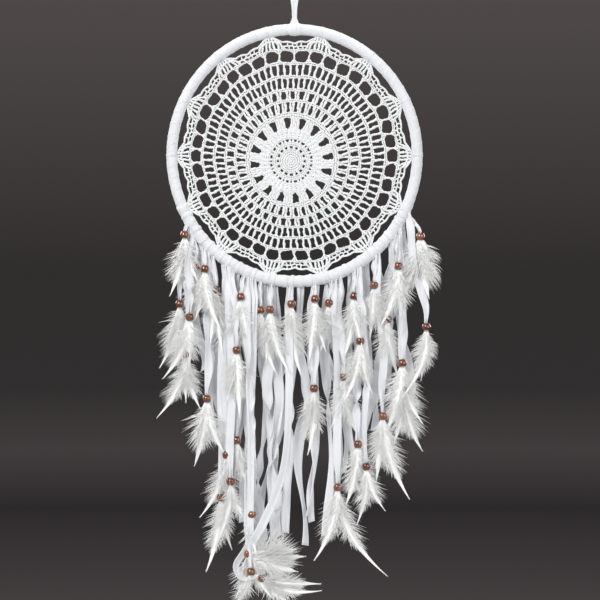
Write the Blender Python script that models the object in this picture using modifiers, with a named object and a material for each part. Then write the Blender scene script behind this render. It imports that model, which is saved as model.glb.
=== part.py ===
"""Dream catcher: a cloth-wrapped hoop round a crocheted doily, fringed with strips, beads and feathers.

Metres, +Z up, with the front towards -Y. The origin is the point of the hanging loop that a nail carries.
"""

import math

import bmesh
import bpy
from mathutils import Vector

# Hoop: a cane ring wound with one long cloth strip
HOOP_DIAMETER = 0.256
HOOP_STRETCH = 1.027
TUBE_DIAMETER = 0.0106
WRAP_THICKNESS = 0.0013
WRAP_LOOPS = 24
WRAP_SIDES = 8
WRAP_GAP = 0.0009
WRAP_END_GAP = 0.0012
CORE_CLEARANCE = 0.0006
CORE_SEGMENTS = 48

# Hanging loop, and the tie that holds it round the top of the hoop
LOOP_RISE = 0.052
LOOP_NAIL_RADIUS = 0.0055
LOOP_FOOT_WIDTH = 0.0036
LOOP_LEG_LEAN = math.radians(8)
LOOP_ARC_POINTS = 13
STRAP_WIDTH = 0.006
STRAP_THICKNESS = 0.0012
TIE_WIDTH = 0.009
TIE_THICKNESS = 0.0018
TIE_CLEARANCE = 0.0004
TIE_SIDES = 12

# Doily: a flat net in its own relaxed sizes, stretched until its fan tips meet the hoop
FANS = 14
SPOKES = 3 * FANS
PETALS = 16
DOILY_THICKNESS = 0.0016
DOILY_CLEARANCE = 0.0006
FAN_TIP_RADIUS = 0.1150
FAN_SHOULDER_RADIUS = 0.1125
FAN_VALLEY_RADIUS = 0.1080
# Each round: gaps, inner radius, outer radius, width of the stitches between gaps, and offset in gaps
DOILY_ROUNDS = (
    (PETALS, 0.0122, 0.0148, 0.0030, 0.0),
    (PETALS, 0.0310, 0.0425, 0.0070, 0.5),
    (SPOKES, 0.0495, 0.0585, 0.0044, 0.0),
    (SPOKES, 0.0612, 0.0695, 0.0046, 0.5),
    (SPOKES, 0.0722, 0.0812, 0.0036, 0.0),
    (SPOKES, 0.0840, 0.0930, 0.0036, 0.5),
    (SPOKES, 0.0956, 0.1046, 0.0034, 0.0),
)

# Fringe: cloth strips hung from the hoop in a front and a back layer
SEAT_GAP = 0.0004
LAYER_GAP = 0.0007
STRIP_WIDTH = 0.009
STRIP_THICKNESS = 0.0009
STRIP_TOP_WIDTH = 0.004
STRIP_SPREAD = 0.2
STRIP_WAVE = 0.0012
STRIP_END_CURL = 0.004
MOST_TWIST = math.radians(35)

# Wooden bead with a bore for the strip above and the quill below
BEAD_DIAMETER = 0.0086
BEAD_HEIGHT = 0.0075
BEAD_BORE = 0.0036
BEAD_FACE_DIAMETER = 0.0050
BEAD_BAND_HEIGHT = 0.0030
BEAD_BORE_CHAMFER = 0.0004
BEAD_SIDES = 10
ROLLED_WIDTH = 0.0022

# Feather
FEATHER_WIDTH = 0.015
FEATHER_THICKNESS = 0.0009
FEATHER_CROWN = 0.0008
FEATHER_CURL = 0.008
QUILL_WIDTH = 0.0020
QUILL_BARE = 0.004

# Front layer, left to right: tie angle from the lowest point of the hoop, length of strip above the bead,
# sideways sway, twist of the strip, length of the feather, turn of the feather
BEADED_STRANDS = (
    (-58.4, 0.124, -0.0025, 25, 0.050, 15),
    (-44.7, 0.146, 0.0000, -20, 0.058, -20),
    (-32.7, 0.186, -0.0005, 30, 0.065, 12),
    (-21.5, 0.272, 0.0000, -30, 0.041, -15),
    (-11.0, 0.024, -0.0005, 10, 0.062, 20),
    (-1.4, 0.0165, 0.0000, -10, 0.066, -10),
    (8.7, 0.102, 0.0005, 28, 0.066, 18),
    (19.5, 0.206, 0.0015, -25, 0.070, -12),
    (30.6, 0.173, 0.0000, 30, 0.062, 20),
    (43.2, 0.161, 0.0030, -28, 0.060, -18),
    (57.5, 0.157, 0.0050, 20, 0.052, 10),
    (66.0, 0.020, 0.0120, 8, 0.060, -20),
)

# Back layer, left to right: tie angle, length, sideways sway, twist
PLAIN_STRIPS = (
    (-60.6, 0.085, -0.0020, 20),
    (-50.2, 0.130, 0.0010, -30),
    (-41.7, 0.165, -0.0010, 25),
    (-34.2, 0.150, 0.0015, -20),
    (-27.4, 0.215, -0.0010, 32),
    (-20.9, 0.235, 0.0010, -25),
    (-14.7, 0.262, -0.0015, 18),
    (-8.7, 0.255, 0.0010, -35),
    (-2.7, 0.250, 0.0000, 28),
    (3.2, 0.262, 0.0010, -22),
    (9.1, 0.240, -0.0010, 30),
    (15.2, 0.255, 0.0015, -28),
    (21.4, 0.225, -0.0010, 24),
    (27.9, 0.205, 0.0010, -30),
    (34.8, 0.190, 0.0000, 26),
    (42.3, 0.160, 0.0010, -18),
    (50.9, 0.150, -0.0010, 30),
    (61.6, 0.175, 0.0040, -26),
)

# Shares of a strip's length, with the width there as a share of its full width
PLAIN_STATIONS = ((0.08, 0.75), (0.22, 1.0), (0.38, 1.0), (0.54, 1.0), (0.70, 1.0), (0.86, 1.0), (1.0, 0.9))
BEADED_STATIONS = ((0.10, 0.75), (0.28, 1.0), (0.50, 1.0), (0.72, 0.9), (0.88, 0.55))
# Shares of a feather's vane below its bare quill, with the width there as a share of its full width
VANE_STATIONS = ((0.14, 0.72), (0.36, 1.0), (0.62, 0.88), (0.84, 0.5), (1.0, 0.06))

# What follows from the sizes above
TUBE_RADIUS = TUBE_DIAMETER / 2
RING_RADIUS = HOOP_DIAMETER / 2 - TUBE_RADIUS
HOOP_Z = -LOOP_RISE - HOOP_STRETCH * HOOP_DIAMETER / 2
WRAP_PITCH = 2 * math.pi * RING_RADIUS / WRAP_LOOPS
STRIP_ON_HOOP = WRAP_PITCH - WRAP_GAP
TIE_INNER_RADIUS = (HOOP_STRETCH * TUBE_RADIUS + TIE_CLEARANCE) / math.cos(math.pi / TIE_SIDES)
LOOP_FOOT_Z = HOOP_Z + HOOP_STRETCH * RING_RADIUS + TIE_INNER_RADIUS + TIE_THICKNESS + SEAT_GAP
FRONT_Y = -(BEAD_DIAMETER / 2 + LAYER_GAP)
BACK_Y = STRIP_WIDTH / 2 * math.sin(MOST_TWIST) + STRIP_WAVE + STRIP_THICKNESS / 2 + LAYER_GAP


def clear_scene():
    for obj in list(bpy.data.objects):
        bpy.data.objects.remove(obj)


def new_collection(name):
    collection = bpy.data.collections.new(name)
    bpy.context.scene.collection.children.link(collection)
    return collection


def new_material(name, colour, roughness):
    material = bpy.data.materials.new(name)
    material.use_nodes = True
    shader = material.node_tree.nodes["Principled BSDF"]
    shader.inputs["Base Color"].default_value = (*colour, 1.0)
    shader.inputs["Roughness"].default_value = roughness
    shader.inputs["Metallic"].default_value = 0.0
    return material


def add_part(name, data, material, collection, pivot, location=(0, 0, 0)):
    """One sub-part, placed from its pivot."""
    part = bpy.data.objects.new(name, data)
    collection.objects.link(part)
    part.parent = pivot
    part.location = location
    data.materials.clear()
    data.materials.append(material)
    return part


def add_pivot(name, collection, location, parent=None):
    """An empty on a joint's axis. The location is in the world."""
    pivot = bpy.data.objects.new(name, None)
    pivot.empty_display_size = 0.005
    collection.objects.link(pivot)
    pivot.parent = parent
    offset = parent.location if parent else Vector((0, 0, 0))
    pivot.location = Vector(location) - offset
    return pivot


def outline_mesh(name, points):
    """A closed outline in the XZ plane, for a Screw modifier."""
    mesh = bpy.data.meshes.new(name)
    bm = bmesh.new()
    corners = [bm.verts.new((x, 0.0, z)) for x, z in points]
    for first, second in zip(corners, corners[1:] + corners[:1]):
        bm.edges.new((first, second))
    bm.to_mesh(mesh)
    bm.free()
    return mesh


def turn_profile(part, steps):
    """Turns a closed outline once about the part's own Z."""
    turned = part.modifiers.new("Turned", "SCREW")
    turned.axis = "Z"
    turned.angle = 2 * math.pi
    turned.steps = steps
    turned.render_steps = steps
    turned.use_merge_vertices = True
    turned.merge_threshold = 0.00001


def flat_curve(name, outlines, thickness):
    """A flat plate from closed outlines: the first is its edge, the others its holes."""
    curve = bpy.data.curves.new(name, "CURVE")
    curve.dimensions = "2D"
    curve.fill_mode = "BOTH"
    curve.extrude = thickness / 2
    for outline in outlines:
        spline = curve.splines.new("POLY")
        spline.points.add(len(outline) - 1)
        for point, (x, y) in zip(spline.points, outline):
            point.co = (x, y, 0.0, 1.0)
        spline.use_cyclic_u = True
    return curve


def ribbon(name, rows, thickness, material, collection, pivot):
    """A thin strip through rows of points, all of one count, thickened about its middle."""
    across = len(rows[0]) - 1
    along = len(rows) - 1
    bm = bmesh.new()
    bmesh.ops.create_grid(bm, x_segments=across, y_segments=along, size=1.0)
    for vertex in bm.verts:
        column = round((vertex.co.x + 1.0) / 2 * across)
        row = round((1.0 - vertex.co.y) / 2 * along)
        vertex.co = rows[row][column]
    mesh = bpy.data.meshes.new(name)
    bm.to_mesh(mesh)
    bm.free()
    part = add_part(name, mesh, material, collection, pivot)
    solid = part.modifiers.new("Thickness", "SOLIDIFY")
    solid.thickness = thickness
    solid.offset = 0.0
    return part


def polar(radius, angle):
    """A point of the doily's pattern. The angle runs clockwise from the top."""
    return (radius * math.sin(angle), radius * math.cos(angle))


def hoop_core(material, collection, pivot):
    bpy.ops.mesh.primitive_torus_add(
        major_segments=CORE_SEGMENTS,
        minor_segments=WRAP_SIDES,
        major_radius=RING_RADIUS,
        minor_radius=(TUBE_RADIUS - WRAP_THICKNESS) * math.cos(math.pi / WRAP_SIDES) - CORE_CLEARANCE,
    )
    torus = bpy.context.object
    mesh = torus.data
    bpy.data.objects.remove(torus)
    mesh.name = "hoop_core"
    mesh.shade_smooth()
    core = add_part("hoop_core", mesh, material, collection, pivot, Vector((0, 0, HOOP_Z)) - pivot.location)
    core.rotation_euler = (math.pi / 2, 0, 0)
    core.scale = (1, HOOP_STRETCH, 1)


def wrap_point(turns, across, radius):
    """A point of the wound strip: turns along it, distance across it, and radius from the ring's middle."""
    along = turns * WRAP_PITCH + across
    bend = along / RING_RADIUS
    from_centre = RING_RADIUS - radius * math.cos(2 * math.pi * turns)
    aside = radius * math.sin(2 * math.pi * turns)
    return Vector((from_centre * math.cos(bend), aside, from_centre * math.sin(bend)))


def least_wrap_gap():
    """The least gap between a loop of the strip and the next, measured on points along both edges."""
    samples = 48
    reach = samples // 4
    least = RING_RADIUS
    for radius in (TUBE_RADIUS - WRAP_THICKNESS, TUBE_RADIUS):
        for step in range(samples):
            here = wrap_point(step / samples, STRIP_ON_HOOP, radius)
            for shift in range(-reach, reach + 1):
                there = wrap_point(1 + (step + shift) / samples, 0.0, radius)
                least = min(least, (here - there).length)
    return least


def hoop_wrap(material, collection, pivot):
    """One unbroken strip: a rectangle screwed along a straight tube, which is then bent into the hoop."""
    inner = TUBE_RADIUS - WRAP_THICKNESS
    shortfall = WRAP_END_GAP / (2 * math.pi * TUBE_RADIUS) / WRAP_LOOPS
    offset = WRAP_PITCH * (1 - shortfall)
    length = WRAP_LOOPS * offset + STRIP_ON_HOOP
    low = -length / 2
    middle = low + STRIP_ON_HOOP / 2
    high = low + STRIP_ON_HOOP
    section = [
        (TUBE_RADIUS, high), (TUBE_RADIUS, middle), (TUBE_RADIUS, low),
        (inner, low), (inner, middle), (inner, high),
    ]
    straight = bpy.data.objects.new("wrap_straight", outline_mesh("wrap_straight", section))
    collection.objects.link(straight)
    wound = straight.modifiers.new("Wound", "SCREW")
    wound.axis = "Z"
    wound.angle = 2 * math.pi * (1 - shortfall)
    wound.screw_offset = offset
    wound.iterations = WRAP_LOOPS
    wound.steps = WRAP_SIDES
    wound.render_steps = WRAP_SIDES
    bend = straight.modifiers.new("Bent", "SIMPLE_DEFORM")
    bend.deform_method = "BEND"
    bend.deform_axis = "Y"
    bend.angle = length / RING_RADIUS
    evaluated = straight.evaluated_get(bpy.context.evaluated_depsgraph_get())
    mesh = bpy.data.meshes.new_from_object(evaluated)
    bpy.data.objects.remove(straight)
    mesh.name = "hoop_wrap"
    bm = bmesh.new()
    bm.from_mesh(mesh)
    open_edges = [edge for edge in bm.edges if edge.is_boundary]
    bmesh.ops.holes_fill(bm, edges=open_edges, sides=len(section))
    bmesh.ops.recalc_face_normals(bm, faces=bm.faces)
    bm.to_mesh(mesh)
    bm.free()
    # The bend puts the ring's centre one radius along X from its origin, with the strip's ends beyond it
    centre = Vector((0, 0, HOOP_Z - HOOP_STRETCH * RING_RADIUS))
    wrap = add_part("hoop_wrap", mesh, material, collection, pivot, centre - pivot.location)
    wrap.rotation_euler = (0, -math.pi / 2, 0)
    wrap.scale = (HOOP_STRETCH, 1, 1)
    print("least gap of the hoop's wrap to itself, mm:", round(least_wrap_gap() * 1000, 3))


def doily_edge(stretch):
    """The scalloped edge: a fan tip at the hoop, shoulders, and a shallow valley before the next fan."""
    valley_rise = (FAN_SHOULDER_RADIUS - FAN_VALLEY_RADIUS) / 3
    fan = (
        (-0.50, FAN_VALLEY_RADIUS), (-0.30, FAN_VALLEY_RADIUS + valley_rise), (-0.16, FAN_SHOULDER_RADIUS),
        (-0.06, FAN_TIP_RADIUS), (0.06, FAN_TIP_RADIUS), (0.16, FAN_SHOULDER_RADIUS),
        (0.30, FAN_VALLEY_RADIUS + valley_rise),
    )
    pitch = 2 * math.pi / FANS
    points = []
    for index in range(FANS):
        points += [polar(stretch * radius, (index + 0.5 + share) * pitch) for share, radius in fan]
    return points


def doily_gap(count, inner, outer, stitch, index):
    """One gap of a round, with stitches of even width on both sides of it."""
    middle = index * 2 * math.pi / count
    corners = []
    for radius, side in ((inner, -1), (outer, -1), (outer, 1), (inner, 1)):
        half = math.pi / count - stitch / (2 * radius)
        corners.append(polar(radius, middle + side * half))
    return corners


def crochet_doily(material, collection, pivot):
    hoop_inside = (RING_RADIUS - TUBE_RADIUS) * math.cos(math.pi / (2 * WRAP_LOOPS))
    stretch = (hoop_inside - DOILY_CLEARANCE) / FAN_TIP_RADIUS
    outlines = [doily_edge(stretch)]
    for count, inner, outer, stitch, offset in DOILY_ROUNDS:
        for index in range(count):
            gap = doily_gap(count, stretch * inner, stretch * outer, stretch * stitch, index + offset)
            outlines.append(gap)
    curve = flat_curve("crochet_doily", outlines, DOILY_THICKNESS)
    centre = Vector((0, 0, HOOP_Z))
    doily = add_part("crochet_doily", curve, material, collection, pivot, centre - pivot.location)
    doily.rotation_euler = (math.pi / 2, 0, 0)
    doily.scale = (1, HOOP_STRETCH, 1)


def loop_outline(radius, half_foot, foot_z):
    """A teardrop: a round top about the nail, and straight legs drawn together at the foot."""
    points = []
    for step in range(LOOP_ARC_POINTS):
        angle = -LOOP_LEG_LEAN + (math.pi + 2 * LOOP_LEG_LEAN) * step / (LOOP_ARC_POINTS - 1)
        points.append((radius * math.cos(angle), radius * math.sin(angle) - LOOP_NAIL_RADIUS))
    return points + [(-half_foot, foot_z), (half_foot, foot_z)]


def hanging_loop(material, collection):
    half_foot = LOOP_FOOT_WIDTH / 2
    outer = loop_outline(LOOP_NAIL_RADIUS + STRAP_THICKNESS, half_foot, LOOP_FOOT_Z)
    inner = loop_outline(LOOP_NAIL_RADIUS, half_foot - STRAP_THICKNESS, LOOP_FOOT_Z + STRAP_THICKNESS)
    curve = flat_curve("hanging_loop", [outer, inner], STRAP_WIDTH)
    loop = add_part("hanging_loop", curve, material, collection, None)
    loop.rotation_euler = (math.pi / 2, 0, 0)


def loop_tie(material, collection, pivot):
    """The cloth band round the wrapped tube, at the top of the hoop."""
    outer = TIE_INNER_RADIUS + TIE_THICKNESS
    half = TIE_WIDTH / 2
    corner = TIE_THICKNESS / 3
    section = [
        (outer - corner, half), (outer, half - corner), (outer, corner - half), (outer - corner, -half),
        (TIE_INNER_RADIUS, -half), (TIE_INNER_RADIUS, half),
    ]
    centre = Vector((0, 0, HOOP_Z + HOOP_STRETCH * RING_RADIUS))
    mesh = outline_mesh("loop_tie", section)
    tie = add_part("loop_tie", mesh, material, collection, pivot, centre - pivot.location)
    tie.rotation_euler = (0, math.pi / 2, 0)
    turn_profile(tie, TIE_SIDES)


def tube_half_height(depth):
    """Half the height of the wrapped tube's faceted section, so far in front of or behind its middle."""
    step = 2 * math.pi / WRAP_SIDES
    share = min(depth / TUBE_RADIUS, 1.0)
    side = min(math.floor(math.asin(share) / step), WRAP_SIDES // 4 - 1)
    near = TUBE_RADIUS * math.sin(side * step)
    far = TUBE_RADIUS * math.sin((side + 1) * step)
    blend = (share * TUBE_RADIUS - near) / (far - near)
    return TUBE_RADIUS * ((1 - blend) * math.cos(side * step) + blend * math.cos((side + 1) * step))


def tie_point(tie_angle, depth):
    """Where a strip hangs: just under the hoop, clear of it across the strip's narrow top."""
    reach = RING_RADIUS + tube_half_height(abs(depth) - STRIP_THICKNESS / 2)
    x = reach * math.sin(math.radians(tie_angle))
    nearest = max(abs(x) - STRIP_TOP_WIDTH / 2, 0.0)
    underside = HOOP_Z - HOOP_STRETCH * math.sqrt(reach**2 - nearest**2)
    return Vector((x, depth, underside - SEAT_GAP / math.cos(math.radians(tie_angle))))


def strip_row(share, length, width, sway, twist, curl):
    """The two edge points of a strip, a share of the way down: it sways, twists and bends in soft waves."""
    ease = share**2 * (3 - 2 * share)
    wave = STRIP_WAVE * math.sin(2 * math.pi * share) * math.sin(math.pi * share)
    centre = Vector((sway * ease, wave + curl * share**3, -length * share))
    edge = Vector((math.cos(twist * ease), math.sin(twist * ease), 0)) * width / 2
    return [centre - edge, centre + edge]


def plain_strip(number, strand, material, collection, hoop_pivot):
    tie_angle, length, sway, twist = strand
    name = f"plain_strip_{number:02d}"
    pivot = add_pivot(f"{name}_pivot", collection, tie_point(tie_angle, BACK_Y), hoop_pivot)
    turn = math.radians(twist)
    rows = [strip_row(0.0, length, STRIP_TOP_WIDTH, sway, turn, STRIP_END_CURL)]
    for share, width in PLAIN_STATIONS:
        rows.append(strip_row(share, length, width * STRIP_WIDTH, sway, turn, STRIP_END_CURL))
    ribbon(name, rows, STRIP_THICKNESS, material, collection, pivot)


def bead_mesh():
    half = BEAD_HEIGHT / 2
    face = BEAD_FACE_DIAMETER / 2
    outer = BEAD_DIAMETER / 2
    band = BEAD_BAND_HEIGHT / 2
    bore = BEAD_BORE / 2
    mouth = half - BEAD_BORE_CHAMFER
    section = [(face, half), (outer, band), (outer, -band), (face, -half), (bore, -mouth), (bore, mouth)]
    return outline_mesh("bead", section)


def feather_row(drop, width, share, turn, across_crown):
    """Three points across a feather: it turns about its quill, curls forward and is crowned on its shaft."""
    centre = Vector((0, -FEATHER_CURL * share**2, -drop))
    edge = Vector((math.cos(turn), math.sin(turn), 0)) * width / 2
    crown = Vector((math.sin(turn), -math.cos(turn), 0)) * across_crown
    return [centre - edge, centre + crown, centre + edge]


def beaded_strand(number, strand, materials, bead_shape, collection, hoop_pivot):
    tie_angle, length, sway, twist, feather_length, feather_turn = strand
    tie = tie_point(tie_angle, FRONT_Y)
    pivot = add_pivot(f"beaded_strand_{number:02d}_pivot", collection, tie, hoop_pivot)

    # The strip narrows to a roll, and its end sits in the upper half of the bead's bore
    turn = math.radians(twist)
    full = min(STRIP_WIDTH, STRIP_TOP_WIDTH + STRIP_SPREAD * length)
    rows = [strip_row(0.0, length, STRIP_TOP_WIDTH, sway, turn, 0.0)]
    for share, width in BEADED_STATIONS:
        rows.append(strip_row(share, length, width * full, sway, turn, 0.0))
    rows.append(strip_row(1.0, length, ROLLED_WIDTH, sway, turn, 0.0))
    into_bead = Vector((0, 0, SEAT_GAP / 2 - BEAD_HEIGHT / 2))
    rows.append([point + into_bead for point in rows[-1]])
    ribbon(f"beaded_strip_{number:02d}", rows, STRIP_THICKNESS, materials["cloth"], collection, pivot)

    bead_centre = Vector((sway, 0, -length - BEAD_HEIGHT / 2))
    bead = add_part(f"bead_{number:02d}", bead_shape, materials["bead"], collection, pivot, bead_centre)
    turn_profile(bead, BEAD_SIDES)

    # The quill starts in the lower half of the bore
    angle = math.radians(feather_turn)
    quill_end = BEAD_HEIGHT / 2 + QUILL_BARE
    vane = feather_length - QUILL_BARE
    rows = [
        feather_row(SEAT_GAP / 2, QUILL_WIDTH, 0.0, angle, 0.0),
        feather_row(BEAD_HEIGHT / 2, QUILL_WIDTH, 0.0, angle, 0.0),
        feather_row(quill_end, QUILL_WIDTH, 0.0, angle, 0.0),
    ]
    for share, width in VANE_STATIONS:
        drop = quill_end + share * vane
        rows.append(feather_row(drop, width * FEATHER_WIDTH, share, angle, width * FEATHER_CROWN))
    name = f"feather_{number:02d}"
    feather = ribbon(name, rows, FEATHER_THICKNESS, materials["feather"], collection, pivot)
    feather.location = bead_centre


def main():
    clear_scene()
    collection = new_collection("dream_catcher")
    materials = {
        "cloth": new_material("white_cloth", (0.86, 0.87, 0.89), 0.85),
        "crochet": new_material("crochet_cotton", (0.88, 0.88, 0.87), 0.9),
        "cane": new_material("bent_cane", (0.55, 0.40, 0.24), 0.6),
        "bead": new_material("brown_wood", (0.30, 0.10, 0.045), 0.3),
        "feather": new_material("white_down", (0.87, 0.86, 0.81), 0.8),
    }
    hanging_loop(materials["cloth"], collection)
    hoop_pivot = add_pivot("hoop_pivot", collection, (0, 0, LOOP_FOOT_Z))
    loop_tie(materials["cloth"], collection, hoop_pivot)
    hoop_core(materials["cane"], collection, hoop_pivot)
    hoop_wrap(materials["cloth"], collection, hoop_pivot)
    crochet_doily(materials["crochet"], collection, hoop_pivot)
    for number, strand in enumerate(PLAIN_STRIPS, 1):
        plain_strip(number, strand, materials["cloth"], collection, hoop_pivot)
    bead_shape = bead_mesh()
    for number, strand in enumerate(BEADED_STRANDS, 1):
        beaded_strand(number, strand, materials, bead_shape, collection, hoop_pivot)


main()
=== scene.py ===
"""Dream catcher: a cloth-wound hoop round a crocheted doily, fringed with strips, beads and feathers.

Metres, +Z up, with the front towards -Y. The origin is the point of the hanging loop that a nail carries.
"""

import math

import bmesh
import bpy
import numpy as np
from mathutils import Matrix, Vector


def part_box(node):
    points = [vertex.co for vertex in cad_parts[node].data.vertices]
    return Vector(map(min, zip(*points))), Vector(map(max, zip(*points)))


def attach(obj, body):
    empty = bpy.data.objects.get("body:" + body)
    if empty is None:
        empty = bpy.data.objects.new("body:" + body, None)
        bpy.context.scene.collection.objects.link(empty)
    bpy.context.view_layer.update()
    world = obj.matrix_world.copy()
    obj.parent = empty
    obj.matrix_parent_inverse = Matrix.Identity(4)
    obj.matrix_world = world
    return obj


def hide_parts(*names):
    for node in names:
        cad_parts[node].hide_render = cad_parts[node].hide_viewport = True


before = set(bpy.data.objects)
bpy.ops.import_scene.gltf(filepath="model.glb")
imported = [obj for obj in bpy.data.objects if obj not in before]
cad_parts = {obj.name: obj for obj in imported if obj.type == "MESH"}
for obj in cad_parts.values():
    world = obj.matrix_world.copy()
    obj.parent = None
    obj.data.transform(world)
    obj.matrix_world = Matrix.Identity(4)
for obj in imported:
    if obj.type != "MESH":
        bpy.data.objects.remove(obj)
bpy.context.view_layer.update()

MM = 0.001
SEED = 11

# Hoop, as the CAD nodes have it: the tube's middle runs on a circle that is stretched upwards
wrap_low, wrap_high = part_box("hoop_wrap")
HOOP_MIDDLE = (wrap_low + wrap_high) / 2
TUBE_RADIUS = (wrap_high.y - wrap_low.y) / 2
RING_RADIUS = (wrap_high.x - wrap_low.x) / 2 - TUBE_RADIUS
STRETCH = (wrap_high.z - wrap_low.z) / (wrap_high.x - wrap_low.x)
WRAP_LAPS = 70
LAP_STEP = 0.35 * MM
FANS = 14
FAN_TURN = 360 / FANS
# How far the doily's middle lies from the hoop's, in mm
DOILY_SAG = (-3.2, 0.0, -5.6)
# Distances from the doily's middle in mm: the open round of tall posts, and the foot and second row of the
# edging
OPEN_INNER = 91.4
OPEN_OUTER = 103.4
EDGE_FOOT = 103.8
EDGE_ROW = 106.6

# Knots of the strips round the lower hoop: their number, the degrees of the hoop they take, and their width
KNOTS = 62
KNOT_SPAN = 136
KNOT_WIDTH = 6.5 * MM

# The twelve beads of the frame, from left to right: the angle on the hoop that the strip is tied at, and the
# feathers below the bead, each by length and widest width in mm, lean in degrees (+ to the right) and curl of
# the tip in mm
FRAME_STRANDS = (
    (-58.4, ((64, 28, -5, -24), (52, 28, 5, 6), (44, 26, -1, 4))),
    (-44.7, ((64, 36, -4, -11), (54, 32, 5, 8))),
    (-32.7, ((64, 28, -8, -17), (50, 26, 5, 6))),
    (-21.5, ((46, 30, 13, 14), (42, 26, -7, -8))),
    (-11.0, ((62, 28, 4, 11), (50, 26, -5, -6))),
    (-1.4, ((68, 30, -1, 7), (52, 24, 7, 8))),
    (8.7, ((62, 30, 5, -14), (48, 26, -8, -8))),
    (19.5, ((90, 28, 5, 42), (72, 30, -2, -22))),
    (30.6, ((58, 32, -2, -11), (50, 28, 7, 8))),
    (43.2, ((82, 32, 5, 20), (62, 32, -5, -8), (50, 28, 1, 6))),
    (57.5, ((60, 34, 2, 11), (52, 30, -6, -6))),
    (66.0, ((58, 46, 1, 6), (54, 44, 7, 3), (60, 40, -5, -8))),
)
# Further beaded strips: the frame's strand they swing with, angle on the hoop, the bead's place to the right
# of the middle and below the nail in mm, its depth in mm (- to the front), and the feathers
MORE_STRANDS = (
    (1, -60.5, -109.5, 263, -8, ((58, 30, -4, -8), (46, 28, 4, 6))),
    (1, -55.5, -98.5, 295, -3, ((56, 30, -3, -8), (46, 26, 4, 6))),
    (2, -47.0, -89.5, 297, -8, ((58, 30, 2, 8), (48, 26, -5, -6))),
    (2, -42.0, -78.5, 318, -4, ((60, 28, 2, 6), (50, 26, -5, -6))),
    (1, -60.0, -114.5, 332, -4, ((62, 30, -5, -17), (48, 28, 2, 3))),
    (1, -57.0, -104.5, 345, -9, ((60, 34, -6, -20), (48, 32, -1, 6))),
    (4, -24.5, -53.5, 325, -8, ((60, 30, 3, 8), (48, 28, -4, -6), (52, 24, 10, 8))),
    (5, -16.0, -34.5, 338, -4, ((62, 30, 4, 17), (50, 26, -5, -6))),
    (3, -30.5, -57.5, 378, -9, ((64, 30, 3, 6), (50, 28, -4, -8))),
    (3, -30.0, -57.5, 468, -4, ((46, 28, 2, 6), (40, 24, -6, -6))),
    (3, -32.0, -63.5, 509, -8, ((56, 24, -1, -11), (58, 22, 8, 22))),
    (4, -20.5, -42.5, 542, -7, ((38, 26, 2, 6), (34, 22, 12, 8))),
    (3, -34.5, -73.5, 525, -3, ((72, 26, -2, -8), (50, 24, 5, 8))),
    (4, -22.6, -43.5, 599, -9, ((40, 26, 58, 8), (34, 24, -14, -6))),
    (4, -19.0, -46.5, 581, -6, ((56, 46, 86, 6), (50, 46, 68, 8), (46, 42, 102, -6))),
    (6, -2.6, -32.5, 605, -9, ((56, 24, 60, 17), (58, 24, 84, 8), (34, 22, 36, 6))),
    (7, 9.6, 20.5, 327, -9, ((60, 28, -4, -8), (50, 26, 4, 6))),
    (8, 17.5, 34.5, 331, -4, ((60, 32, 2, 6), (50, 30, -5, -6))),
    (9, 29.3, 59.5, 324, -8, ((58, 32, -2, -6), (48, 28, 4, 6))),
    (10, 41.5, 79.5, 313, -4, ((60, 30, 2, 8), (50, 28, -4, -6))),
    (11, 58.0, 103.5, 294, -8, ((58, 34, -4, -11), (50, 30, 3, 6))),
    (12, 67.5, 131.5, 355, -8, ((66, 26, 2, -25), (50, 26, -4, -6))),
    (11, 55.0, 93.5, 347, -4, ((56, 30, 2, 6), (46, 26, -5, -6))),
    (9, 32.5, 65.5, 369, -9, ((58, 30, -4, -11), (50, 26, 5, 8))),
    (8, 22.0, 49.5, 405, -4, ((60, 32, 2, 8), (48, 28, -5, -8))),
    (11, 59.5, 107.5, 391, -8, ((68, 36, -4, -6), (58, 32, 2, 14))),
    (9, 32.0, 71.5, 494, -8, ((54, 26, 3, -17), (42, 24, 10, 8))),
)
# One further beaded strip, by its place in the list above counted from 0, curls on its way to its bead. It
# goes through these places, in mm to the right of the middle and below the nail
CURLED_STRIP = 15
CURL = ((-5.5, 428), (-11.5, 498), (-32.5, 553), (-49.5, 578), (-58.5, 593), (-51.5, 606))
# Plain strips: the angle on the hoop of the frame's eighteen, then further ones by the strand they swing
# with, angle, length in mm and lean of the lower end in mm
PLAIN_TIES = (
    -60.6, -50.2, -41.7, -34.2, -27.4, -20.9, -14.7, -8.7, -2.7,
    3.2, 9.1, 15.2, 21.4, 27.9, 34.8, 42.3, 50.9, 61.6,
)
MORE_PLAIN = (
    (2, -48.5, 150, 8), (4, -35.5, 200, -5), (5, -28.6, 228, -8), (6, -22.0, 250, -6), (7, -13.2, 232, 9),
    (8, -9.8, 256, 5), (9, -1.2, 268, -34), (10, 2.0, 260, -28), (11, 10.6, 238, -7), (12, 16.6, 232, 8),
    (14, 26.6, 205, -7), (15, 36.2, 175, 6), (17, 52.3, 140, -7),
)
STRIP_THICKNESS = 0.35 * MM
PLAIN_WIDTH = 12 * MM
BEADED_WIDTH = 10 * MM
# Where a strip leaves its knot, from the tube's middle
KNOT_DEPTH = 2.5 * MM
KNOT_DROP = 4.5 * MM
# Where the strip and the quills end in a bead, from its middle
STRIP_INTO_BEAD = 2.6 * MM
QUILL_INTO_BEAD = 2.5 * MM
# Feathers: the barb that is copied, and the room across and in depth past which down is pressed in
BARB_LENGTH = 10 * MM
BARBS_PER_MM = 8
FEATHER_ROOM = ((-137 * MM, 142 * MM), (-18 * MM, 15 * MM))


# Camera, world and light

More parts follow.
